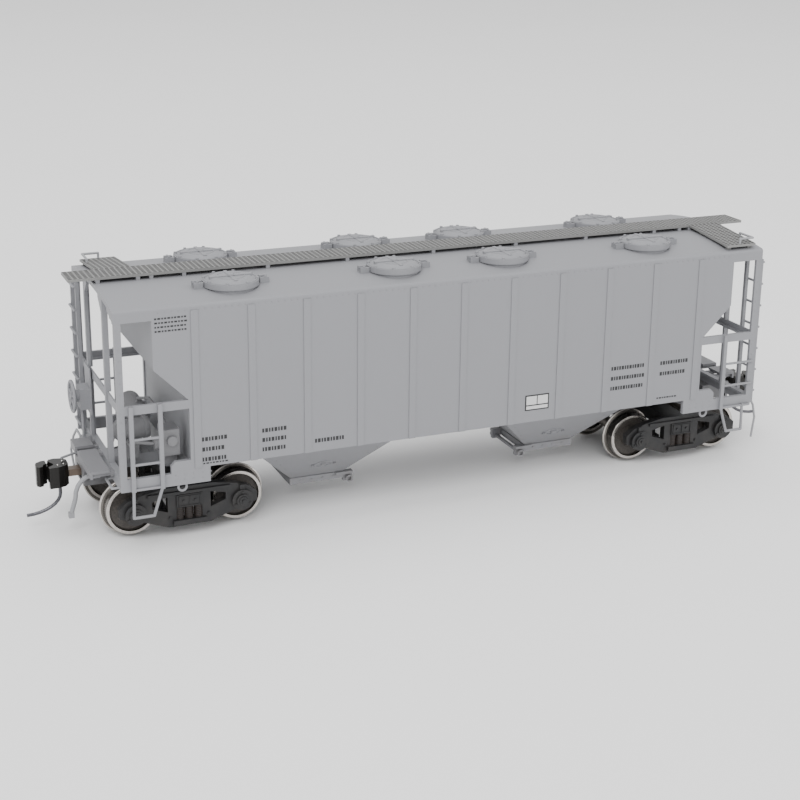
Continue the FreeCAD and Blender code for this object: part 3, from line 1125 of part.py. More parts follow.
def air_hose():
    """The rigid moulded air hose and its angle cock at end B on the +Y side."""
    y = HOSE_Y
    z = SILL_BOTTOM_Z - 0.9
    start = CAGE_X + 2.6
    pipe = wire_bar([(CAGE_X - POST_THICKNESS, y, z), (CAGE_X + 1.5, y, z)], HOSE_R * 0.8)
    cock = rod((CAGE_X + 1.2, y, z), (CAGE_X + 2.8, y, z), HOSE_R * 1.5)
    handle = box(CAGE_X + 1.7, CAGE_X + 2.1, y - 0.25, y + 0.25, z, z + 1.2)
    hang = SILL_BOTTOM_Z - 5.0
    points = [(start, y, z)]
    steps = 5
    for number in range(1, steps + 1):
        angle = math.pi / 2 * number / steps
        points.append((start + 3.2 * math.sin(angle), y, z - (z - hang) * (1 - math.cos(angle))))
    points.append((start + 3.9, y - 0.7, hang - 3.0))
    hose = wire_bar(points, HOSE_R)
    end = points[-1]
    glad_hand = box(end[0] - 0.45, end[0] + 0.55, end[1] - 0.5, end[1] + 0.5,
                    end[2] - 0.8, end[2] + 0.2)
    bracket = box(CAGE_X, CAGE_X + 0.8, y - 0.5, y + 0.5, z, SILL_BOTTOM_Z + 0.6)
    return fuse([pipe, cock, handle, hose, glad_hand, bracket])


# ---- assembly -------------------------------------------------------------------------
def fixed_nodes():
    far_side = side_sheet()
    nodes = {
        "side_sheet_near": mirrored_y(far_side),
        "side_sheet_far": far_side,
        "roof_sheet": roof_sheet(),
        "hatch_covers": group([hatch_cover(x, y) for x, y in hatch_places()]),
        "hatch_brackets": group([hatch_bracket(x, y) for x, y in hatch_places()]),
        "running_board": running_board(),
        "board_saddles": board_saddles(),
        "corner_walks": group(both_ends(corner_walk())),
        "hand_grabs": group(both_ends(walk_grab()) + both_ends(sill_grab())),
        "end_sheets": group(both_ends(end_sheet())),
        "hopper_bay_a": turned(hopper_bay()),
        "hopper_bay_b": hopper_bay(),
        "outlet_frames": group(both_ends(outlet_frame())),
        "gate_shafts": group(both_ends(gate_shaft())),
        "centre_sill": centre_sill(),
        "body_bolsters": group(both_ends(body_bolster())),
        "corner_posts": group(four_corners(corner_post())),
        "side_sills": group(four_corners(side_sill())),
        "side_braces": group(four_corners(side_brace())),
        "end_sills": group(both_ends(end_sill())),
        "end_rails": group(both_ends(end_rail())),
        "end_posts": group(both_ends(end_post(-END_POST_Y)) + both_ends(end_post(END_POST_Y))),
        "side_ladders": group(both_ends(side_ladder(True)) +
                              both_ends(mirrored_y(side_ladder(False)))),
        "end_ladders": group(both_ends(end_ladder())),
        "end_steps": group(both_ends(end_step(*STEP_LONG)) +
                           both_ends(end_step(-STEP_SHORT[0], -STEP_SHORT[1]))),
        "brake_wheel": brake_wheel(),
        "brake_gearbox": brake_gearbox(),
        "brake_rod": brake_rod(),
        "brake_cylinder": brake_cylinder(),
        "air_reservoir": air_reservoir(),
        "control_valve": control_valve(),
        "brake_pipes": brake_pipes(),
        "draft_boxes": group(both_ends(draft_box())),
        "draft_lids": group(both_ends(draft_lid())),
        "lid_screws": group(both_ends(lid_screw())),
        "centring_springs": group(both_ends(centring_spring())),
        "kingpin_screws": group(both_ends(kingpin_screw())),
        "uncoupling_levers": group(both_ends(uncoupling_lever())),
        "air_hoses": group(both_ends(air_hose())),
        "ballast_weight": ballast_weight(),
    }
    return nodes


def moving_nodes():
    nodes = {}
    outer_x, inner_x = TRUCK_X + WHEELBASE / 2, TRUCK_X - WHEELBASE / 2
    for end, place in (("a", turned), ("b", lambda shape: shape)):
        far, near = sideframe(), mirrored_y(sideframe())
        if end == "a":
            far, near = near, far
        nodes["sideframe_far_" + end] = place(far)
        nodes["sideframe_near_" + end] = place(near)
        nodes["truck_bolster_" + end] = place(truck_bolster())
        for number, x in ((1, outer_x), (2, inner_x)):
            nodes["wheels_" + end + str(number)] = group([place(wheels(x))])
            nodes["axle_" + end + str(number)] = place(axle(x))
        nodes["coupler_head_" + end] = place(coupler_head())
        nodes["knuckle_" + end] = place(knuckle())
        nodes["trip_pin_" + end] = place(trip_pin())
    return nodes


def main():
    os.makedirs("parts", exist_ok=True)
    nodes = fixed_nodes()
    nodes.update(moving_nodes())
    for name, shape in nodes.items():
        if not shape.isValid():
            print("not valid:", name)
        shape.exportStep("parts/" + name + ".step")
    print(len(nodes), "nodes")


main()
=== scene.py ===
import math

import bmesh
import bpy
from mathutils import Matrix, Vector


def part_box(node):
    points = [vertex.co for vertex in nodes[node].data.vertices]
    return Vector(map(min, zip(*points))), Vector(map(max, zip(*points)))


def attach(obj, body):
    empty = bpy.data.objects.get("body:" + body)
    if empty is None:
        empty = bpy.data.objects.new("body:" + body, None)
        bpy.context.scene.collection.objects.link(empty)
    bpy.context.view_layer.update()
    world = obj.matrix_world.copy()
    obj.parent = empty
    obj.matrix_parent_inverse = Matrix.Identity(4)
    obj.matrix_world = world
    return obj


# A covered hopper car: finishes on its CAD pieces, the small fittings added to them, and a
# plain studio round it. End a is the brake end, at -X, and the near side is -Y.
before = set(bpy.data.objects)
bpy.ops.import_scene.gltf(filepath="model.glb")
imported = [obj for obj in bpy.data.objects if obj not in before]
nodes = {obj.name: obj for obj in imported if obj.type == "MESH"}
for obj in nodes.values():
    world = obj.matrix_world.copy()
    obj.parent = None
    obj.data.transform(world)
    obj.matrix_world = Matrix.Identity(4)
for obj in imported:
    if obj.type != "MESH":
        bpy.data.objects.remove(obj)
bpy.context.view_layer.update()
MM = 0.001
ENDS = (("a", -1), ("b", 1))     # a name, and its way along the car
SIDES = (-1, 1)
UP = (0, 0, 1)
SHEET_FACE = 17.3                # the flat of the side sheets, from the car's middle plane
COUPLER_HEAD_X = 71.3            # where the shank ends and the coupler's head begins


# ---- colours, in linear light ---------------------------------------------------------
CAR_GREY = (0.222, 0.224, 0.238)
WALK_GREY = (0.19, 0.19, 0.187)
# painted shade: near black for the dark seen through the grating's holes
PAINTED_HOLE_SHADE = (0.012, 0.012, 0.012)
WIRE_GREY = (0.26, 0.263, 0.275)
TRUCK_BLACK = (0.0095, 0.0095, 0.0105)
# the brake gear: the car's grey, darkened as painted shade under the body
GEAR_GREY_SHADED = (0.165, 0.165, 0.172)
COUPLER_BLACK = (0.014, 0.013, 0.012)
SHANK_BROWN = (0.15, 0.115, 0.09)
STEP_GREY = (0.17, 0.17, 0.18)
BOX_GREY = (0.15, 0.15, 0.156)
SPRING_BROWN = (0.022, 0.015, 0.012)
STENCIL_BLACK = (0.012, 0.012, 0.013)
STENCIL_WHITE = (0.55, 0.55, 0.55)
DUST_COLOUR = (0.20, 0.17, 0.14)
RIVET_STEEL = (0.30, 0.29, 0.28)
PIN_STEEL = (0.10, 0.10, 0.11)
AXLE_STEEL = (0.10, 0.09, 0.08)
SCREW_STEEL = (0.45, 0.45, 0.45)
WEIGHT_STEEL = (0.30, 0.30, 0.30)
SPRING_BRONZE = (0.60, 0.40, 0.20)
PLATE_COLOURS = ((0.045, 0.040, 0.036), (0.075, 0.066, 0.058))   # a wheel inside its rim
TURNED_HIGHLIGHT_COLOURS = ((0.46, 0.43, 0.40), (0.58, 0.55, 0.52))        # the rim's two turned rings: metal, lightened as painted highlights
TREAD_PAINTED_SHADE = (0.14, 0.13, 0.12)                                # the rim between them, darkened as painted shade
FLOOR_COLOURS = ((0.86, 0.86, 0.86), (0.89, 0.89, 0.89))

# ---- grain of the finishes, in repeats a metre ----------------------------------------
CLOUD_SCALE = 90.0
GRAIN_SCALE = 5200.0
PEEL_SCALE = 2400.0
DUST_SCALE = 420.0
TURNING_SCALE = 3000.0
LATHE_SCALE = 1300.0
CARD_SCALE = 6.0

# ---- where a finish changes -----------------------------------------------------------
DUST_TOP = 12.0 * MM             # no dust lies above this
SHANK_BLEND = 0.2 * MM           # over this length the head's black fades to bare metal
PLATE_EDGE = (3.88 * MM, 4.0 * MM)                               # the plate runs into the rim
PAINTED_HIGHLIGHT_BANDS = ((4.4 * MM, 0.28 * MM), (5.4 * MM, 0.18 * MM))    # painted highlight rings on the rim: radius, half width


# ---- node groups that several materials share -----------------------------------------
def new_group(name, inputs, outputs):
    """A shader node group with named sockets and its two end nodes."""
    tree = bpy.data.node_groups.new(name, "ShaderNodeTree")
    for label, kind, value in inputs:
        socket = tree.interface.new_socket(label, in_out="INPUT", socket_type=kind)
        if value is not None:
            socket.default_value = value
    for label, kind in outputs:
        tree.interface.new_socket(label, in_out="OUTPUT", socket_type=kind)
    return tree, tree.nodes.new("NodeGroupInput"), tree.nodes.new("NodeGroupOutput")


def add_node(tree, kind, **settings):
    """A node of the given kind with its settings made."""
    node = tree.nodes.new(kind)
    for key, value in settings.items():
        setattr(node, key, value)
    return node


def math_node(tree, operation, first, second=None, third=None, clamp=False):
    """The result of one sum on numbers or sockets."""
    node = add_node(tree, "ShaderNodeMath", operation=operation, use_clamp=clamp)
    for index, value in enumerate((first, second, third)):
        if value is None:
            continue
        if isinstance(value, (int, float)):
            node.inputs[index].default_value = value
        else:
            tree.links.new(value, node.inputs[index])
    return node.outputs[0]


def mix_colours(tree, factor, first, second):
    """The first colour where factor is 0, the second where it is 1."""
    node = add_node(tree, "ShaderNodeMix", data_type="RGBA", blend_type="MIX")
    sockets = (node.inputs[0], node.inputs[6], node.inputs[7])
    for socket, value in zip(sockets, (factor, first, second)):
        if hasattr(value, "links"):
            tree.links.new(value, socket)
        elif isinstance(value, (int, float)):
            socket.default_value = value
        else:
            socket.default_value = (*value, 1.0)
    return node.outputs[2]


def noise(tree, vector, scale, detail=3.0, roughness=0.5):
    """Cloudy noise, 0 to 1, with the given number of repeats a metre."""
    node = add_node(tree, "ShaderNodeTexNoise")
    node.inputs["Scale"].default_value = scale
    node.inputs["Detail"].default_value = detail
    node.inputs["Roughness"].default_value = roughness
    tree.links.new(vector, node.inputs["Vector"])
    return node.outputs["Fac"]


def ramp(tree, value, low, high):
    """A value stretched from the span low..high to 0..1."""
    node = add_node(tree, "ShaderNodeMapRange", clamp=True, interpolation_type="SMOOTHSTEP")
    node.inputs["From Min"].default_value = low
    node.inputs["From Max"].default_value = high
    tree.links.new(value, node.inputs["Value"])
    return node.outputs["Result"]


def make_paint_film():
    """Sprayed model paint: faint clouding, fine specks and an orange-peel height."""
    tree, inputs, outputs = new_group(
        "paint_film",
        [("Vector", "NodeSocketVector", None), ("Color", "NodeSocketColor", (0.3, 0.3, 0.3, 1)),
         ("Clouding", "NodeSocketFloat", 0.05), ("Specks", "NodeSocketFloat", 0.05),
         ("Roughness", "NodeSocketFloat", 0.6)],
        [("Color", "NodeSocketColor"), ("Roughness", "NodeSocketFloat"),
         ("Height", "NodeSocketFloat")])
    place = inputs.outputs["Vector"]
    clouds = noise(tree, place, CLOUD_SCALE, 4.0)
    grain = noise(tree, place, GRAIN_SCALE, 2.0)
    peel = noise(tree, place, PEEL_SCALE, 2.0)
    shift = math_node(tree, "MULTIPLY", math_node(tree, "SUBTRACT", clouds, 0.5),
                      inputs.outputs["Clouding"])
    speck = math_node(tree, "MULTIPLY", math_node(tree, "SUBTRACT", grain, 0.5),
                      inputs.outputs["Specks"])
    level = math_node(tree, "ADD", math_node(tree, "ADD", shift, speck), 1.0)
    scale = add_node(tree, "ShaderNodeVectorMath", operation="SCALE")
    tree.links.new(inputs.outputs["Color"], scale.inputs[0])
    tree.links.new(level, scale.inputs["Scale"])
    tree.links.new(scale.outputs[0], outputs.inputs["Color"])
    rough = math_node(tree, "ADD", inputs.outputs["Roughness"],
                      math_node(tree, "MULTIPLY", math_node(tree, "SUBTRACT", clouds, 0.5), 0.25),
                      clamp=True)
    tree.links.new(rough, outputs.inputs["Roughness"])
    height = math_node(tree, "ADD", math_node(tree, "MULTIPLY", peel, 0.6),
                       math_node(tree, "MULTIPLY", grain, 0.4))
    tree.links.new(height, outputs.inputs["Height"])
    return tree


def make_dust():
    """How much dust lies at a place: more low down on the car, in soft patches."""
    tree, inputs, outputs = new_group(
        "road_dust",
        [("Vector", "NodeSocketVector", None), ("Top", "NodeSocketFloat", DUST_TOP),
         ("Amount", "NodeSocketFloat", 0.3)],
        [("Mask", "NodeSocketFloat")])
    split = add_node(tree, "ShaderNodeSeparateXYZ")
    tree.links.new(inputs.outputs["Vector"], split.inputs[0])
    fall = math_node(tree, "DIVIDE", split.outputs["Z"], inputs.outputs["Top"])
    low = math_node(tree, "SUBTRACT", 1.0, fall, clamp=True)
    patches = ramp(tree, noise(tree, inputs.outputs["Vector"], DUST_SCALE, 5.0, 0.6), 0.35, 0.75)
    mask = math_node(tree, "MULTIPLY", math_node(tree, "MULTIPLY", low, patches),
                     inputs.outputs["Amount"])
    tree.links.new(mask, outputs.inputs["Mask"])
    return tree


PAINT_FILM = make_paint_film()
ROAD_DUST = make_dust()


# ---- finishes -------------------------------------------------------------------------
def start_material(name):
    """A new material, its tree, its shader and the object's own coordinates."""
    material = bpy.data.materials.new(name)
    material.use_nodes = True
    tree = material.node_tree
    shader = tree.nodes["Principled BSDF"]
    place = add_node(tree, "ShaderNodeTexCoord").outputs["Object"]
    return material, tree, shader, place


def add_film(tree, place, colour, **values):
    """The paint film on a material, with its named inputs set."""
    film = add_node(tree, "ShaderNodeGroup", node_tree=PAINT_FILM)
    tree.links.new(place, film.inputs["Vector"])
    film.inputs["Color"].default_value = (*colour, 1.0)
    for label, value in values.items():
        film.inputs[label].default_value = value
    return film


def add_bump(tree, shader, height, strength, distance):
    """A fine relief on the shader's normal."""
    bump = add_node(tree, "ShaderNodeBump")
    bump.inputs["Strength"].default_value = strength
    bump.inputs["Distance"].default_value = distance
    tree.links.new(height, bump.inputs["Height"])
    tree.links.new(bump.outputs["Normal"], shader.inputs["Normal"])


def painted(name, colour, roughness, clouding, specks, peel=0.05, metallic=0.0, dust=0.0):
    """A sprayed or moulded finish with its own clouding, grain and dust."""
    material, tree, shader, place = start_material(name)
    film = add_film(tree, place, colour, Clouding=clouding, Specks=specks, Roughness=roughness)
    base = film.outputs["Color"]
    if dust:
        layer = add_node(tree, "ShaderNodeGroup", node_tree=ROAD_DUST)
        tree.links.new(place, layer.inputs["Vector"])
        layer.inputs["Amount"].default_value = dust
        base = mix_colours(tree, layer.outputs["Mask"], base, DUST_COLOUR)
    tree.links.new(base, shader.inputs["Base Color"])
    tree.links.new(film.outputs["Roughness"], shader.inputs["Roughness"])
    shader.inputs["Metallic"].default_value = metallic
    add_bump(tree, shader, film.outputs["Height"], peel, 0.05 * MM)
    return material


def deck_with_painted_shade(name):
    """The walkways' sheet: its top painted near black as painted shade between the grating's bars,
    paint grey on its edges.
    """
    material, tree, shader, place = start_material(name)
    film = add_film(tree, place, WALK_GREY)
    facing = add_node(tree, "ShaderNodeSeparateXYZ")
    tree.links.new(add_node(tree, "ShaderNodeNewGeometry").outputs["Normal"], facing.inputs[0])
    # Up-facing faces get the painted shade that stands for the dark between the bars.
    top = ramp(tree, facing.outputs["Z"], 0.4, 0.8)
    tree.links.new(mix_colours(tree, top, film.outputs["Color"], PAINTED_HOLE_SHADE),
                   shader.inputs["Base Color"])
    tree.links.new(film.outputs["Roughness"], shader.inputs["Roughness"])
    return material


def coupler_finish(name):
    """A blackened head on a shank of bare brown metal."""
    material, tree, shader, place = start_material(name)
    film = add_film(tree, place, COUPLER_BLACK, Clouding=0.4, Specks=0.8, Roughness=0.36)
    split = add_node(tree, "ShaderNodeSeparateXYZ")
    tree.links.new(place, split.inputs[0])
    back = COUPLER_HEAD_X * MM
    head = ramp(tree, math_node(tree, "ABSOLUTE", split.outputs["X"]), back - SHANK_BLEND, back)
    tree.links.new(mix_colours(tree, head, SHANK_BROWN, film.outputs["Color"]),
                   shader.inputs["Base Color"])
    tree.links.new(film.outputs["Roughness"], shader.inputs["Roughness"])
    shader.inputs["Metallic"].default_value = 0.55
    add_bump(tree, shader, film.outputs["Height"], 0.5, 0.06 * MM)
    return material


def wheel_with_painted_light(name, x, z):
    """A turned metal wheel: two rings on the rim lightened as painted highlights, the tread
    between them darkened as painted shade, and a dull blackened plate inside the rim.
    """
    material, tree, shader, place = start_material(name)
    centre = add_node(tree, "ShaderNodeMapping")
    centre.inputs["Location"].default_value = (-x, 0.0, -z)
    tree.links.new(place, centre.inputs["Vector"])
    split = add_node(tree, "ShaderNodeSeparateXYZ")
    tree.links.new(centre.outputs[0], split.inputs[0])
    radius = math_node(tree, "SQRT", math_node(
        tree, "ADD", math_node(tree, "POWER", split.outputs["X"], 2.0),
        math_node(tree, "POWER", split.outputs["Z"], 2.0)))
    rim = ramp(tree, radius, *PLATE_EDGE)
    grain = ramp(tree, noise(tree, place, TURNING_SCALE, 3.0), 0.3, 0.7)
    plate = mix_colours(tree, grain, *PLATE_COLOURS)
    highlight_colour = mix_colours(tree, grain, *TURNED_HIGHLIGHT_COLOURS)
    # Painted highlights in two rings on the rim, painted shade on the tread between them.
    bands = [math_node(tree, "COMPARE", radius, *band) for band in PAINTED_HIGHLIGHT_BANDS]
    shade = mix_colours(tree, math_node(tree, "MAXIMUM", *bands), TREAD_PAINTED_SHADE, highlight_colour)
    tree.links.new(mix_colours(tree, rim, plate, shade), shader.inputs["Base Color"])
    rings = add_node(tree, "ShaderNodeTexWave", wave_type="RINGS", rings_direction="Y")
    rings.inputs["Scale"].default_value = LATHE_SCALE
    rings.inputs["Distortion"].default_value = 0.5
    tree.links.new(centre.outputs[0], rings.inputs["Vector"])
    tree.links.new(math_node(tree, "MULTIPLY", rim, 0.95), shader.inputs["Metallic"])
    rough = math_node(tree, "SUBTRACT", 0.62, math_node(tree, "MULTIPLY", rim, 0.36))
    tree.links.new(rough, shader.inputs["Roughness"])
    add_bump(tree, shader, rings.outputs["Fac"], 0.12, 0.03 * MM)
    return material


# name, colour, roughness, clouding, specks
car_paint = painted("car_paint", CAR_GREY, 0.55, 0.05, 0.05, dust=0.35)
step_paint = painted("step_paint", STEP_GREY, 0.5, 0.10, 0.15)
wire_paint = painted("wire_paint", WIRE_GREY, 0.5, 0.08, 0.08)
truck_plastic = painted("truck_plastic", TRUCK_BLACK, 0.5, 0.2, 0.25, peel=0.15, dust=0.10)
pipe_plastic = painted("pipe_plastic", GEAR_GREY_SHADED, 0.5, 0.15, 0.15)
grating_paint = painted("grating_paint", WALK_GREY, 0.5, 0.1, 0.15, metallic=0.2)
spring_paint = painted("spring_paint", SPRING_BROWN, 0.45, 0.2, 0.2)
stencil_black = painted("stencil_black", STENCIL_BLACK, 0.5, 0.1, 0.2)
stencil_white = painted("stencil_white", STENCIL_WHITE, 0.5, 0.03, 0.05)
hose_plastic = painted("hose_plastic", WIRE_GREY, 0.55, 0.1, 0.1)
box_plastic = painted("box_plastic", BOX_GREY, 0.55, 0.1, 0.1)
coupler_metal = coupler_finish("coupler_metal")
rivet_steel = painted("rivet_steel", RIVET_STEEL, 0.3, 0.1, 0.2, metallic=0.9)
pin_steel = painted("pin_steel", PIN_STEEL, 0.28, 0.2, 0.2, metallic=0.9)
axle_steel = painted("axle_steel", AXLE_STEEL, 0.4, 0.2, 0.2, metallic=0.6)
screw_steel = painted("screw_steel", SCREW_STEEL, 0.35, 0.1, 0.2, metallic=1.0)
spring_bronze = painted("spring_bronze", SPRING_BRONZE, 0.3, 0.1, 0.1, metallic=1.0)
weight_steel = painted("weight_steel", WEIGHT_STEEL, 0.5, 0.2, 0.3, metallic=0.9)


# ---- finishes on the CAD pieces -------------------------------------------------------
def dress(names, material):
    """Give every named CAD piece one finish."""
    for name in names.split():
        slots = nodes[name].data.materials
        slots.clear()
        slots.append(material)


dress("side_sheet_near side_sheet_far roof_sheet hatch_covers hatch_brackets board_saddles "
      "end_sheets hopper_bay_a hopper_bay_b outlet_frames gate_shafts centre_sill "
      "body_bolsters corner_posts side_sills side_braces end_sills end_rails end_posts "
      "side_ladders end_ladders brake_wheel brake_gearbox brake_rod", car_paint)
dress("running_board corner_walks", deck_with_painted_shade("deck_painted_shade"))
dress("end_steps", step_paint)
dress("hand_grabs uncoupling_levers", wire_paint)
# The brake gear's grey is darkened as painted shade.
dress("brake_cylinder air_reservoir control_valve brake_pipes", pipe_plastic)
dress("air_hoses", hose_plastic)
dress("draft_boxes draft_lids", box_plastic)
dress("lid_screws kingpin_screws", screw_steel)
dress("centring_springs", spring_bronze)
dress("ballast_weight", weight_steel)
for end, way in ENDS:
    dress(f"truck_bolster_{end} sideframe_far_{end} sideframe_near_{end}", truck_plastic)
    dress(f"coupler_head_{end} knuckle_{end}", coupler_metal)
    dress(f"trip_pin_{end}", pin_steel)
    for number in (1, 2):
        low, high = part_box(f"wheels_{end}{number}")
        middle = (low + high) / 2
        dress(f"wheels_{end}{number}",
              wheel_with_painted_light(f"wheel_metal_{end}{number}", middle.x, middle.z))
        dress(f"axle_{end}{number}", axle_steel)


# ---- shapes of the pieces added to the CAD, drawn in millimetres ----------------------
def block(bm, low, high, edge=0.0):
    """A box between two corners, its edges eased when edge is given."""
    low, high = Vector(low), Vector(high)
    made = bmesh.ops.create_cube(bm, size=1.0, matrix=Matrix.Translation((low + high) / 2)
                                 @ Matrix.Diagonal((*(high - low), 1.0)))
    if edge:
        edges = {e for v in made["verts"] for e in v.link_edges}
        bmesh.ops.bevel(bm, geom=list(edges), offset=edge, segments=2, profile=0.5,
                        affect="EDGES", material=-1)


def stud(bm, place, axis, radius, height, sides=12, top=1.0):
    """A round or hexagonal head that stands on place and points along axis."""
    turn = Vector(axis).to_track_quat("Z", "Y").to_matrix().to_4x4()
    lift = Matrix.Translation(Vector(place) + Vector(axis).normalized() * height / 2)
    bmesh.ops.create_cone(bm, cap_ends=True, segments=sides, radius1=radius, radius2=radius * top,
                          depth=height, matrix=lift @ turn)


def hoop(bm, place, axis, radius, wire, steps=24, sides=8, stretch=1.0):
    """A ring of round wire about place, drawn out along the car when stretch is given."""
    made = bmesh.ops.create_circle(bm, cap_ends=False, segments=sides, radius=wire,
                                   matrix=Matrix.Translation((radius, 0, 0))
                                   @ Matrix.Rotation(math.pi / 2, 4, "X"))
    edges = list({e for v in made["verts"] for e in v.link_edges})
    bmesh.ops.spin(bm, geom=made["verts"] + edges, cent=(0, 0, 0), axis=UP,
                   angle=2 * math.pi, steps=steps, use_merge=True)
    ring, front = set(), set(made["verts"])
    while front:
        ring |= front
        front = {w for v in front for e in v.link_edges for w in e.verts} - ring
    turn = Vector(axis).to_track_quat("Z", "Y").to_matrix().to_4x4()
    bmesh.ops.transform(bm, verts=list(ring), matrix=Matrix.Translation(place) @ turn
                        @ Matrix.Diagonal((stretch, 1.0, 1.0, 1.0)))


def finish_piece(name, bm, material, body):
    """The mesh drawn in millimetres becomes an object that rides on its body."""
    bmesh.ops.recalc_face_normals(bm, faces=bm.faces[:])
    bmesh.ops.scale(bm, vec=(MM, MM, MM), verts=bm.verts[:])
    mesh = bpy.data.meshes.new(name)
    bm.to_mesh(mesh)
    bm.free()
    mesh.materials.append(material)
    piece = bpy.data.objects.new(name, mesh)
    bpy.context.scene.collection.objects.link(piece)
    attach(piece, body)
    return piece


def span(name):
    """A CAD piece's lowest and highest corners in millimetres."""
    low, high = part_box(name)
    return Vector(low) / MM, Vector(high) / MM


# ---- open gratings on the walkways ----------------------------------------------------
GRATING_BAR = 0.3
GRATING_DEPTH = 0.05
GRATING_CELL = (0.95, 0.85)
WALK_LENGTH = 6.6                # a corner walk along the car
WALK_DROP = 1.3                  # its fall from the running board to the eave


def lay_grating(bm, low, high, slope=0.0):
    """Crossed bars over a deck's top between two corners, sloped across the car if asked."""
    size = (high[0] - low[0], high[1] - low[1])
    columns, rows = (round(length / cell) for length, cell in zip(size, GRATING_CELL))
    made = bmesh.ops.create_grid(bm, x_segments=columns, y_segments=rows, size=0.5,
                                 matrix=Matrix.Diagonal((*size, 1.0, 1.0)))
    cells = list({f for v in made["verts"] for f in v.link_faces})
    rings = bmesh.ops.inset_individual(bm, faces=cells, thickness=GRATING_BAR / 2,
                                       use_even_offset=True)["faces"]
    bmesh.ops.delete(bm, geom=cells, context="FACES")
    made = bmesh.ops.solidify(bm, geom=rings, thickness=GRATING_DEPTH)
    verts = {v for g in (rings, made["geom"]) for f in g if isinstance(f, bmesh.types.BMFace)
             for v in f.verts}
    shear = Matrix.Identity(4)
    shear[2][1] = slope
    middle = Vector(((low[0] + high[0]) / 2, (low[1] + high[1]) / 2, low[2] + GRATING_DEPTH))
    bmesh.ops.transform(bm, verts=list(verts), matrix=Matrix.Translation(middle) @ shear)


def make_gratings():
    """The bars over the running board and over the two corner walks."""
    low, high = span("running_board")
    bm = bmesh.new()
    lay_grating(bm, (low.x, low.y, high.z), (high.x, high.y, high.z))
    finish_piece("running_board_grating", bm, grating_paint, "car")
    low, high = span("corner_walks")
    inner_y = span("running_board")[1].y
    z = high.z - WALK_DROP / 2
    bm = bmesh.new()
    for side in SIDES:
        x0, x1 = sorted((-side * high.x, -side * (high.x - WALK_LENGTH)))
        y0, y1 = sorted((side * inner_y, side * high.y))
        lay_grating(bm, (x0, y0, z), (x1, y1, z), -side * WALK_DROP / (high.y - inner_y))
    finish_piece("corner_walk_grating", bm, grating_paint, "car")


# ---- roof hatches ---------------------------------------------------------------------
COVER_R = 5.1
COVER_INNER_X = 11.1             # the middle covers' centres, each way from the car's middle
COVER_RISE = 0.5                 # the dome over the rim
RIM_BEAD = (COVER_R - 0.38, 0.14)                   # radius, wire
DOME_BEAD = (2.5, 0.12)
COVER_STRAPS = ((3.9, 0.42, 0.22), (0.35, 3.6, 0.12))   # half length, half width, over the dome
RIM_BOLTS = 8
RIM_BOLT_R = COVER_R - 0.35
KNOB = (0.75, 0.3, 16, 0.8)      # radius, height, sides, taper, as in every stud below
KNOB_LIFT = 0.15                 # its foot over the dome
RIM_BOLT = (0.34, 0.34, 6, 0.85)
LUG_MIDDLE = COVER_R + 1.0
LUG_ENDS = (0.95, 0.55)          # from there to its end towards -X and towards +X
LUG_Z = (-0.28, 0.22)            # its underside and top, from the rim
LUG_HALF_WIDTH = 0.28
LUG_PIN_X = COVER_R + 1.15
LUG_PIN_Y = 0.75
LUG_PIN_Z = -0.1                 # its foot, from the rim
LUG_PIN = (0.22, 0.25, 8)


def dress_cover(bm, x, y, rim_z, dome_z):
    """Beads, crossed straps, a centre knob, rim bolts and two hinge lugs on one cover."""
    hoop(bm, (x, y, rim_z + 0.02), UP, *RIM_BEAD, steps=40)
    hoop(bm, (x, y, dome_z), UP, *DOME_BEAD, steps=28)
    for half_x, half_y, rise in COVER_STRAPS:
        block(bm, (x - half_x, y - half_y, rim_z), (x + half_x, y + half_y, dome_z + rise), 0.08)
    stud(bm, (x, y, dome_z + KNOB_LIFT), UP, *KNOB)
    for number in range(RIM_BOLTS):
        angle = 2 * math.pi * (number + 0.5) / RIM_BOLTS
        stud(bm, (x + RIM_BOLT_R * math.cos(angle), y + RIM_BOLT_R * math.sin(angle), rim_z),
             UP, *RIM_BOLT)
    for side in SIDES:
        lug_x = x + side * LUG_MIDDLE
        block(bm, (lug_x - LUG_ENDS[0], y - LUG_HALF_WIDTH, rim_z + LUG_Z[0]),
              (lug_x + LUG_ENDS[1], y + LUG_HALF_WIDTH, rim_z + LUG_Z[1]), 0.06)
        for pin in SIDES:
            stud(bm, (x + side * LUG_PIN_X, y + pin * LUG_PIN_Y, rim_z + LUG_PIN_Z), UP,
                 *LUG_PIN)


def dress_hatches():
    """The small fittings on all eight covers."""
    low, high = span("hatch_covers")
    bm = bmesh.new()
    for x in (low.x + COVER_R, -COVER_INNER_X, COVER_INNER_X, high.x - COVER_R):
        for y in (low.y + COVER_R, high.y - COVER_R):
            dress_cover(bm, x, y, high.z - COVER_RISE, high.z)
    finish_piece("hatch_fittings", bm, car_paint, "car")


# ---- body sides -----------------------------------------------------------------------
RIVET = (0.13, 0.07, 6, 0.7)     # radius, height, sides, taper
EAVE_RIVET_Z = 43.9
EAVE_RIVET_REACH = 57.6
EAVE_RIVET_PITCH = 1.2
SILL_RIVET_X = [49.0 + 1.6 * n for n in range(5)]
SILL_RIVET_Z = (13.0, 13.9)
POST_RIVET_X = 64.62
POST_RIVET_Z = [start + 2.0 * n for n in range(5) for start in (17.0, 30.0)]


def dress_sides():
    """Rivet rows along the eaves, over the sills' ends and up the corner posts."""
    count = round(2 * EAVE_RIVET_REACH / EAVE_RIVET_PITCH) + 1
    places = [(EAVE_RIVET_PITCH * n - EAVE_RIVET_REACH, EAVE_RIVET_Z) for n in range(count)]
    for end in (-1, 1):
        places += [(end * x, z) for z in SILL_RIVET_Z for x in SILL_RIVET_X]
        places += [(end * POST_RIVET_X, z) for z in POST_RIVET_Z]
    bm = bmesh.new()
    for side in SIDES:
        for x, z in places:
            stud(bm, (x, side * SHEET_FACE, z), (0, side, 0), *RIVET)
    finish_piece("side_rivets", bm, car_paint, "car")


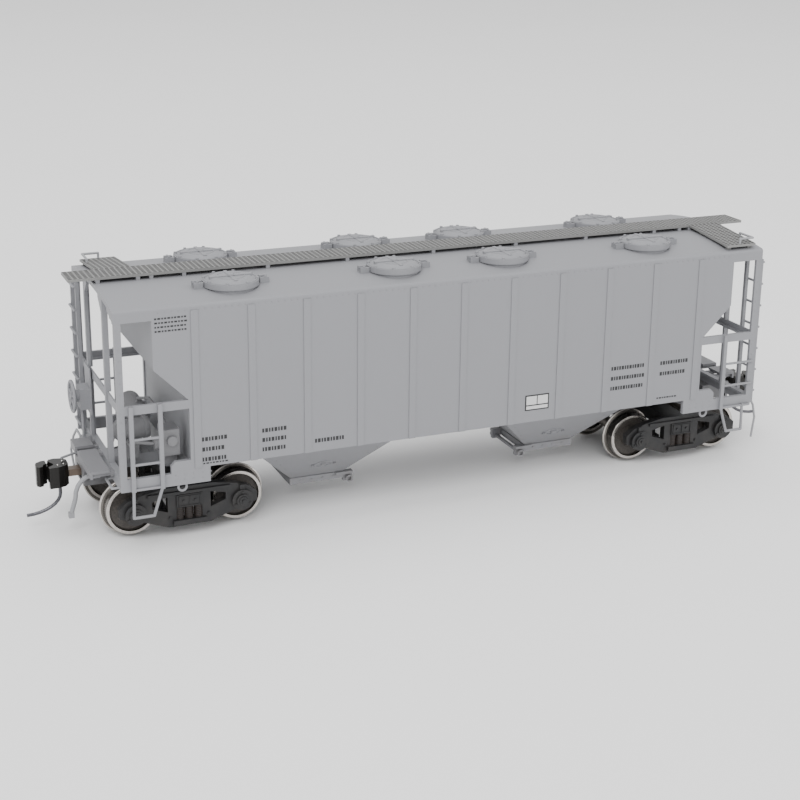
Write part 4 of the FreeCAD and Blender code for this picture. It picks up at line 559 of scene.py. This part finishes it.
# The decals lie on the near side. A spot is its start and end along the car, then its foot
# and top; a depth is how far its back and its face stand out from the sheet.
PANEL_SPOT = (13.3, 18.4, 17.2, 20.3)
WINDOW_SPOTS = ((13.55, 15.75, 18.35, 20.05), (15.95, 18.15, 18.35, 20.05),
                (13.55, 18.15, 17.45, 18.1))
PANEL_DEPTH = (0.0, 0.05)
WINDOW_DEPTH = (0.04, 0.09)
DASH_DEPTH = (-0.01, 0.03)
DASH_WIDTHS = (0.36, 0.5, 0.28)
DASH_GAP = 0.2
DASH_MARGIN = 0.3                # no dash starts closer than this to a row's end
# start along the car, top, length, how many rows, their pitch, a dash's height
DASH_ROWS = ((-58.25, 43.0, 5.8, 4, 0.75, 0.3), (-50.5, 20.4, 4.4, 3, 1.9, 0.75),
             (-50.4, 15.6, 4.6, 1, 1.0, 0.25), (-39.4, 20.6, 4.5, 3, 1.8, 0.75),
             (-29.4, 17.3, 5.8, 1, 1.0, 0.75), (32.0, 23.9, 7.6, 3, 2.05, 0.75),
             (43.1, 23.8, 6.2, 2, 2.2, 0.75), (42.7, 16.3, 4.8, 1, 1.0, 0.3))


def lay_decal(bm, spot, depth):
    """One thin plate on the near side's sheet."""
    x0, x1, z0, z1 = spot
    block(bm, (x0, -SHEET_FACE - depth[1], z0), (x1, -SHEET_FACE - depth[0], z1))


def add_data_panel():
    """A plain black panel with three white windows."""
    bm = bmesh.new()
    lay_decal(bm, PANEL_SPOT, PANEL_DEPTH)
    finish_piece("panel_black", bm, stencil_black, "car")
    bm = bmesh.new()
    for spot in WINDOW_SPOTS:
        lay_decal(bm, spot, WINDOW_DEPTH)
    finish_piece("panel_white", bm, stencil_white, "car")


def make_dashes():
    """Rows of plain dashes of three widths, in place of the small data."""
    bm = bmesh.new()
    for start, top, length, count, pitch, height in DASH_ROWS:
        for row in range(count):
            x, z, step = start, top - row * pitch, row
            while x < start + length - DASH_MARGIN:
                wide = DASH_WIDTHS[step % len(DASH_WIDTHS)]
                lay_decal(bm, (x, x + wide, z - height, z), DASH_DEPTH)
                x += wide + DASH_GAP
                step += 1
    finish_piece("data_dashes", bm, stencil_black, "car")


# ---- hopper bays ----------------------------------------------------------------------
PORT_PLACE = (24.6, 8.35, 8.5)   # an oval port's middle, on a bay's side slope
PORT_RING = (1.0, 0.16)          # radius, wire
PORT_STRETCH = 1.7
PORT_KNOB = (0.62, 0.3, 14, 0.8)
PORT_CLAMP_X = 2.2
PORT_CLAMP = (0.3, 0.32, 6)
BAY_FACING = (0.752, -0.659)     # out and down, at right angles to the side slope
BAY_FOOT_Z = 5.24
BAY_SLOPE = 1.14                 # rise over run of the side slope
BAY_LEAN = 0.9                   # run over rise of its front and back edges
BAY_EDGES = ((-1, 20.3), (1, 29.2))                 # which way each leans, and its foot
BAY_FOOT_Y = 5.5
SEAM_RIVET_Z = [7.0 + 1.5 * n for n in range(5)]
SEAM_RIVET = (0.14, 0.08, 6, 0.7)
FRAME_BOLT_X = [19.4 + 2.2 * n for n in range(5)]
FRAME_BOLT_Y = 5.7
FRAME_BOLT_Z = 4.6
FRAME_BOLT = (0.2, 0.14, 6)


def dress_bay_side(bm, end, side):
    """An oval port with its clamps, the outlet frame's bolts and the seams' rivets."""
    out = Vector((0, side * BAY_FACING[0], BAY_FACING[1]))
    x, y, z = PORT_PLACE
    middle = Vector((end * x, side * y, z))
    hoop(bm, middle, out, *PORT_RING, steps=28, stretch=PORT_STRETCH)
    stud(bm, middle, out, *PORT_KNOB)
    for way in (-1, 1):
        stud(bm, middle + Vector((way * PORT_CLAMP_X, 0, 0)), out, *PORT_CLAMP)
    for x in FRAME_BOLT_X:
        stud(bm, (end * x, side * FRAME_BOLT_Y, FRAME_BOLT_Z), (0, side, 0), *FRAME_BOLT)
    for way, x in BAY_EDGES:
        for z in SEAM_RIVET_Z:
            rise = z - BAY_FOOT_Z
            place = (end * (x + way * rise * BAY_LEAN), side * (BAY_FOOT_Y + rise / BAY_SLOPE), z)
            stud(bm, place, out, *SEAM_RIVET)


def dress_bays():
    """The small fittings on both sides of both bays."""
    bm = bmesh.new()
    for end in (-1, 1):
        for side in SIDES:
            dress_bay_side(bm, end, side)
    finish_piece("bay_fittings", bm, car_paint, "car")


# ---- trucks ---------------------------------------------------------------------------
# Places are along the car from the truck's middle, out from the car's middle plane, or up.
FRAME_FACE = 12.8
JOURNAL_LID = 13.85
JOURNAL_Z = 5.75
HALF_WHEELBASE = 9.9
LID = (0.85, 0.18, 20, 0.9)
LID_CENTRE = (0.3, 0.22, 6)
LID_BOLT = (0.24, 0.22, 6)
LID_BOLT_R = 1.55
LID_BOLT_TURNS = (90, 210, 330)
LID_BOLT_DROP = 0.36             # its foot behind the lid's face
COIL = (0.74, 0.1)               # radius, wire
COIL_X = (-1.75, 0, 1.75)
COIL_Y = FRAME_FACE - 0.55
COIL_FOOT_Z = 3.72
COIL_TURNS = 7
COIL_PITCH = 0.33
CASTING_RELIEF = (0.3, 0.44)     # the raised ribs' back and face, out from the frame's face
RIB_HALF_WIDTH = 0.09
RIB_HALF_LENGTH = 2.1
RIB_X = (-2.0, 0.0, 2.0)
RIB_Z = (6.15, 7.95)
RIB_BOLT_X = (-1.1, 1.1)
RIB_BOLT = (0.28, 0.2, 6)
COLUMN_BOLT_X = 3.6
COLUMN_BOLT_Z = (4.0, 8.7)
COLUMN_BOLT = (0.3, 0.25, 6)
ARCH_BOLT_X = 6.6
ARCH_BOLT_Z = 8.5
ARCH_BOLT = (0.26, 0.25, 6)
BEAM_X = (3.9, 0.35)             # middle and half thickness of a brake beam
BEAM_HALF_WIDTH = 10.4
BEAM_Z = (4.6, 5.3)
SHOE_X = (4.45, 0.33)            # middle and half thickness of a brake shoe
SHOE_Y = (7.4, 9.8)
SHOE_Z = (4.1, 6.6)


def add_ribs(bm, x, side):
    """A raised frame of ribs on the sideframe's middle, with two bolts inside it."""
    back, face = (side * (FRAME_FACE + relief) for relief in CASTING_RELIEF)
    y0, y1 = sorted((back, face))
    for z in RIB_Z:
        block(bm, (x - RIB_HALF_LENGTH, y0, z - RIB_HALF_WIDTH),
              (x + RIB_HALF_LENGTH, y1, z + RIB_HALF_WIDTH))
    for dx in RIB_X:
        block(bm, (x + dx - RIB_HALF_WIDTH, y0, RIB_Z[0]), (x + dx + RIB_HALF_WIDTH, y1, RIB_Z[1]))
    for dx in RIB_BOLT_X:
        stud(bm, (x + dx, back, sum(RIB_Z) / 2), (0, side, 0), *RIB_BOLT)


def add_journal(bm, x, side):
    """The lid of one journal box, with its centre bolt and three bolts round it."""
    out = (0, side, 0)
    stud(bm, (x, side * JOURNAL_LID, JOURNAL_Z), out, *LID)
    stud(bm, (x, side * (JOURNAL_LID + LID[1]), JOURNAL_Z), out, *LID_CENTRE)
    for turn in LID_BOLT_TURNS:
        angle = math.radians(turn)
        stud(bm, (x + LID_BOLT_R * math.cos(angle), side * (JOURNAL_LID - LID_BOLT_DROP),
                  JOURNAL_Z + LID_BOLT_R * math.sin(angle)), out, *LID_BOLT)


def dress_truck(end):
    """Ribs, journal lids, bolts, spring coils and brake gear on one truck."""
    low, high = span(f"sideframe_near_{end}")
    x = (low.x + high.x) / 2
    bm = bmesh.new()
    coils = bmesh.new()
    for side in SIDES:
        out = (0, side, 0)
        for offset in COIL_X:
            for number in range(COIL_TURNS):
                place = (x + offset, side * COIL_Y, COIL_FOOT_Z + COIL_PITCH * number)
                hoop(coils, place, UP, *COIL, steps=16, sides=6)
        add_ribs(bm, x, side)
        y0, y1 = sorted(side * y for y in SHOE_Y)
        for dx in (-1, 1):
            add_journal(bm, x + dx * HALF_WHEELBASE, side)
            for z in COLUMN_BOLT_Z:
                stud(bm, (x + dx * COLUMN_BOLT_X, side * FRAME_FACE, z), out, *COLUMN_BOLT)
            stud(bm, (x + dx * ARCH_BOLT_X, side * FRAME_FACE, ARCH_BOLT_Z), out, *ARCH_BOLT)
            shoe = x + dx * SHOE_X[0]
            block(bm, (shoe - SHOE_X[1], y0, SHOE_Z[0]), (shoe + SHOE_X[1], y1, SHOE_Z[1]), 0.15)
    for dx in (-1, 1):
        beam = x + dx * BEAM_X[0]
        block(bm, (beam - BEAM_X[1], -BEAM_HALF_WIDTH, BEAM_Z[0]),
              (beam + BEAM_X[1], BEAM_HALF_WIDTH, BEAM_Z[1]), 0.1)
    finish_piece(f"truck_fittings_{end}", bm, truck_plastic, f"truck_{end}")
    finish_piece(f"spring_coils_{end}", coils, spring_paint, f"truck_{end}")


# ---- couplers -------------------------------------------------------------------------
HEAD_RIVETS = ((0.8, 0.9), (1.9, 1.2), (0.8, -0.6))     # out from the head's back, across
HEAD_RIVET = (0.22, 0.12, 10, 0.6)


def dress_coupler(end, way):
    """Rivets on the head's top and underside."""
    low, high = span(f"coupler_head_{end}")
    bm = bmesh.new()
    for dx, dy in HEAD_RIVETS:
        for z, axis in ((high.z, UP), (low.z, (0, 0, -1))):
            stud(bm, (way * (COUPLER_HEAD_X + dx), way * dy, z), axis, *HEAD_RIVET)
    finish_piece(f"coupler_rivets_{end}", bm, rivet_steel, f"coupler_{end}")


make_gratings()
dress_hatches()
dress_sides()
add_data_panel()
make_dashes()
dress_bays()
for end, way in ENDS:
    dress_truck(end)
    dress_coupler(end, way)


# ---- floor, light and camera ----------------------------------------------------------
FLOOR_HALF = 3.0
WORLD_STRENGTH = 1.15
CAMERA_PLACE = (-0.1168, -0.2626, 0.11534)
CAMERA_LENS = 68.749             # on a sensor 36 wide
CAMERA_SHIFT = (0.0155, -0.0609)
CAMERA_TURN = 22.4796            # degrees, to the right of straight across the car
CAMERA_TILT = 17.3487            # degrees, down
CAMERA_ROLL = 0.4923             # degrees
# name, place, target, size, power
LIGHTS = (("key_light", (-0.45, -0.75, 0.85), (0.0, 0.0, 0.03), 0.7, 9.5),
          ("fill_light", (0.8, -0.6, 0.45), (0.0, 0.0, 0.02), 0.8, 2.6),
          ("top_light", (0.0, 0.2, 1.1), (0.0, 0.0, 0.0), 1.0, 4.6))


def make_floor():
    """A wide pale card under the wheels."""
    mesh = bpy.data.meshes.new("floor")
    bm = bmesh.new()
    bmesh.ops.create_grid(bm, x_segments=1, y_segments=1, size=FLOOR_HALF)
    bm.to_mesh(mesh)
    bm.free()
    floor = bpy.data.objects.new("floor", mesh)
    bpy.context.scene.collection.objects.link(floor)
    material, tree, shader, place = start_material("floor_card")
    tone = mix_colours(tree, noise(tree, place, CARD_SCALE), *FLOOR_COLOURS)
    tree.links.new(tone, shader.inputs["Base Color"])
    shader.inputs["Roughness"].default_value = 0.9
    mesh.materials.append(material)


def soft_light(name, place, target, size, power):
    """A round studio light that faces its target."""
    data = bpy.data.lights.new(name, "AREA")
    data.shape = "DISK"
    data.size = size
    data.energy = power
    lamp = bpy.data.objects.new(name, data)
    bpy.context.scene.collection.objects.link(lamp)
    lamp.location = place
    lamp.rotation_mode = "QUATERNION"
    lamp.rotation_quaternion = (Vector(place) - Vector(target)).to_track_quat("Z", "Y")


def make_world():
    """An even white studio all round."""
    world = bpy.data.worlds.new("studio")
    world.use_nodes = True
    backdrop = world.node_tree.nodes["Background"]
    backdrop.inputs["Color"].default_value = (1.0, 1.0, 1.0, 1.0)
    backdrop.inputs["Strength"].default_value = WORLD_STRENGTH
    bpy.context.scene.world = world


def make_camera():
    """A long lens, left of the car's middle and above it."""
    data = bpy.data.cameras.new("camera")
    data.sensor_width = 36.0
    data.lens = CAMERA_LENS
    data.shift_x, data.shift_y = CAMERA_SHIFT
    data.clip_start = 0.01
    camera = bpy.data.objects.new("camera", data)
    bpy.context.scene.collection.objects.link(camera)
    turn, tilt, roll = (math.radians(angle) for angle in (CAMERA_TURN, CAMERA_TILT, CAMERA_ROLL))
    forward = Vector((math.sin(turn) * math.cos(tilt), math.cos(turn) * math.cos(tilt),
                      -math.sin(tilt)))
    level = Vector((math.cos(turn), -math.sin(turn), 0.0))
    upright = level.cross(forward)
    right = math.cos(roll) * level + math.sin(roll) * upright
    up = math.cos(roll) * upright - math.sin(roll) * level
    camera.matrix_world = Matrix.Translation(CAMERA_PLACE) @ Matrix(
        (right, up, -forward)).transposed().to_4x4()
    bpy.context.scene.camera = camera


make_floor()
make_world()
for light in LIGHTS:
    soft_light(*light)
make_camera()
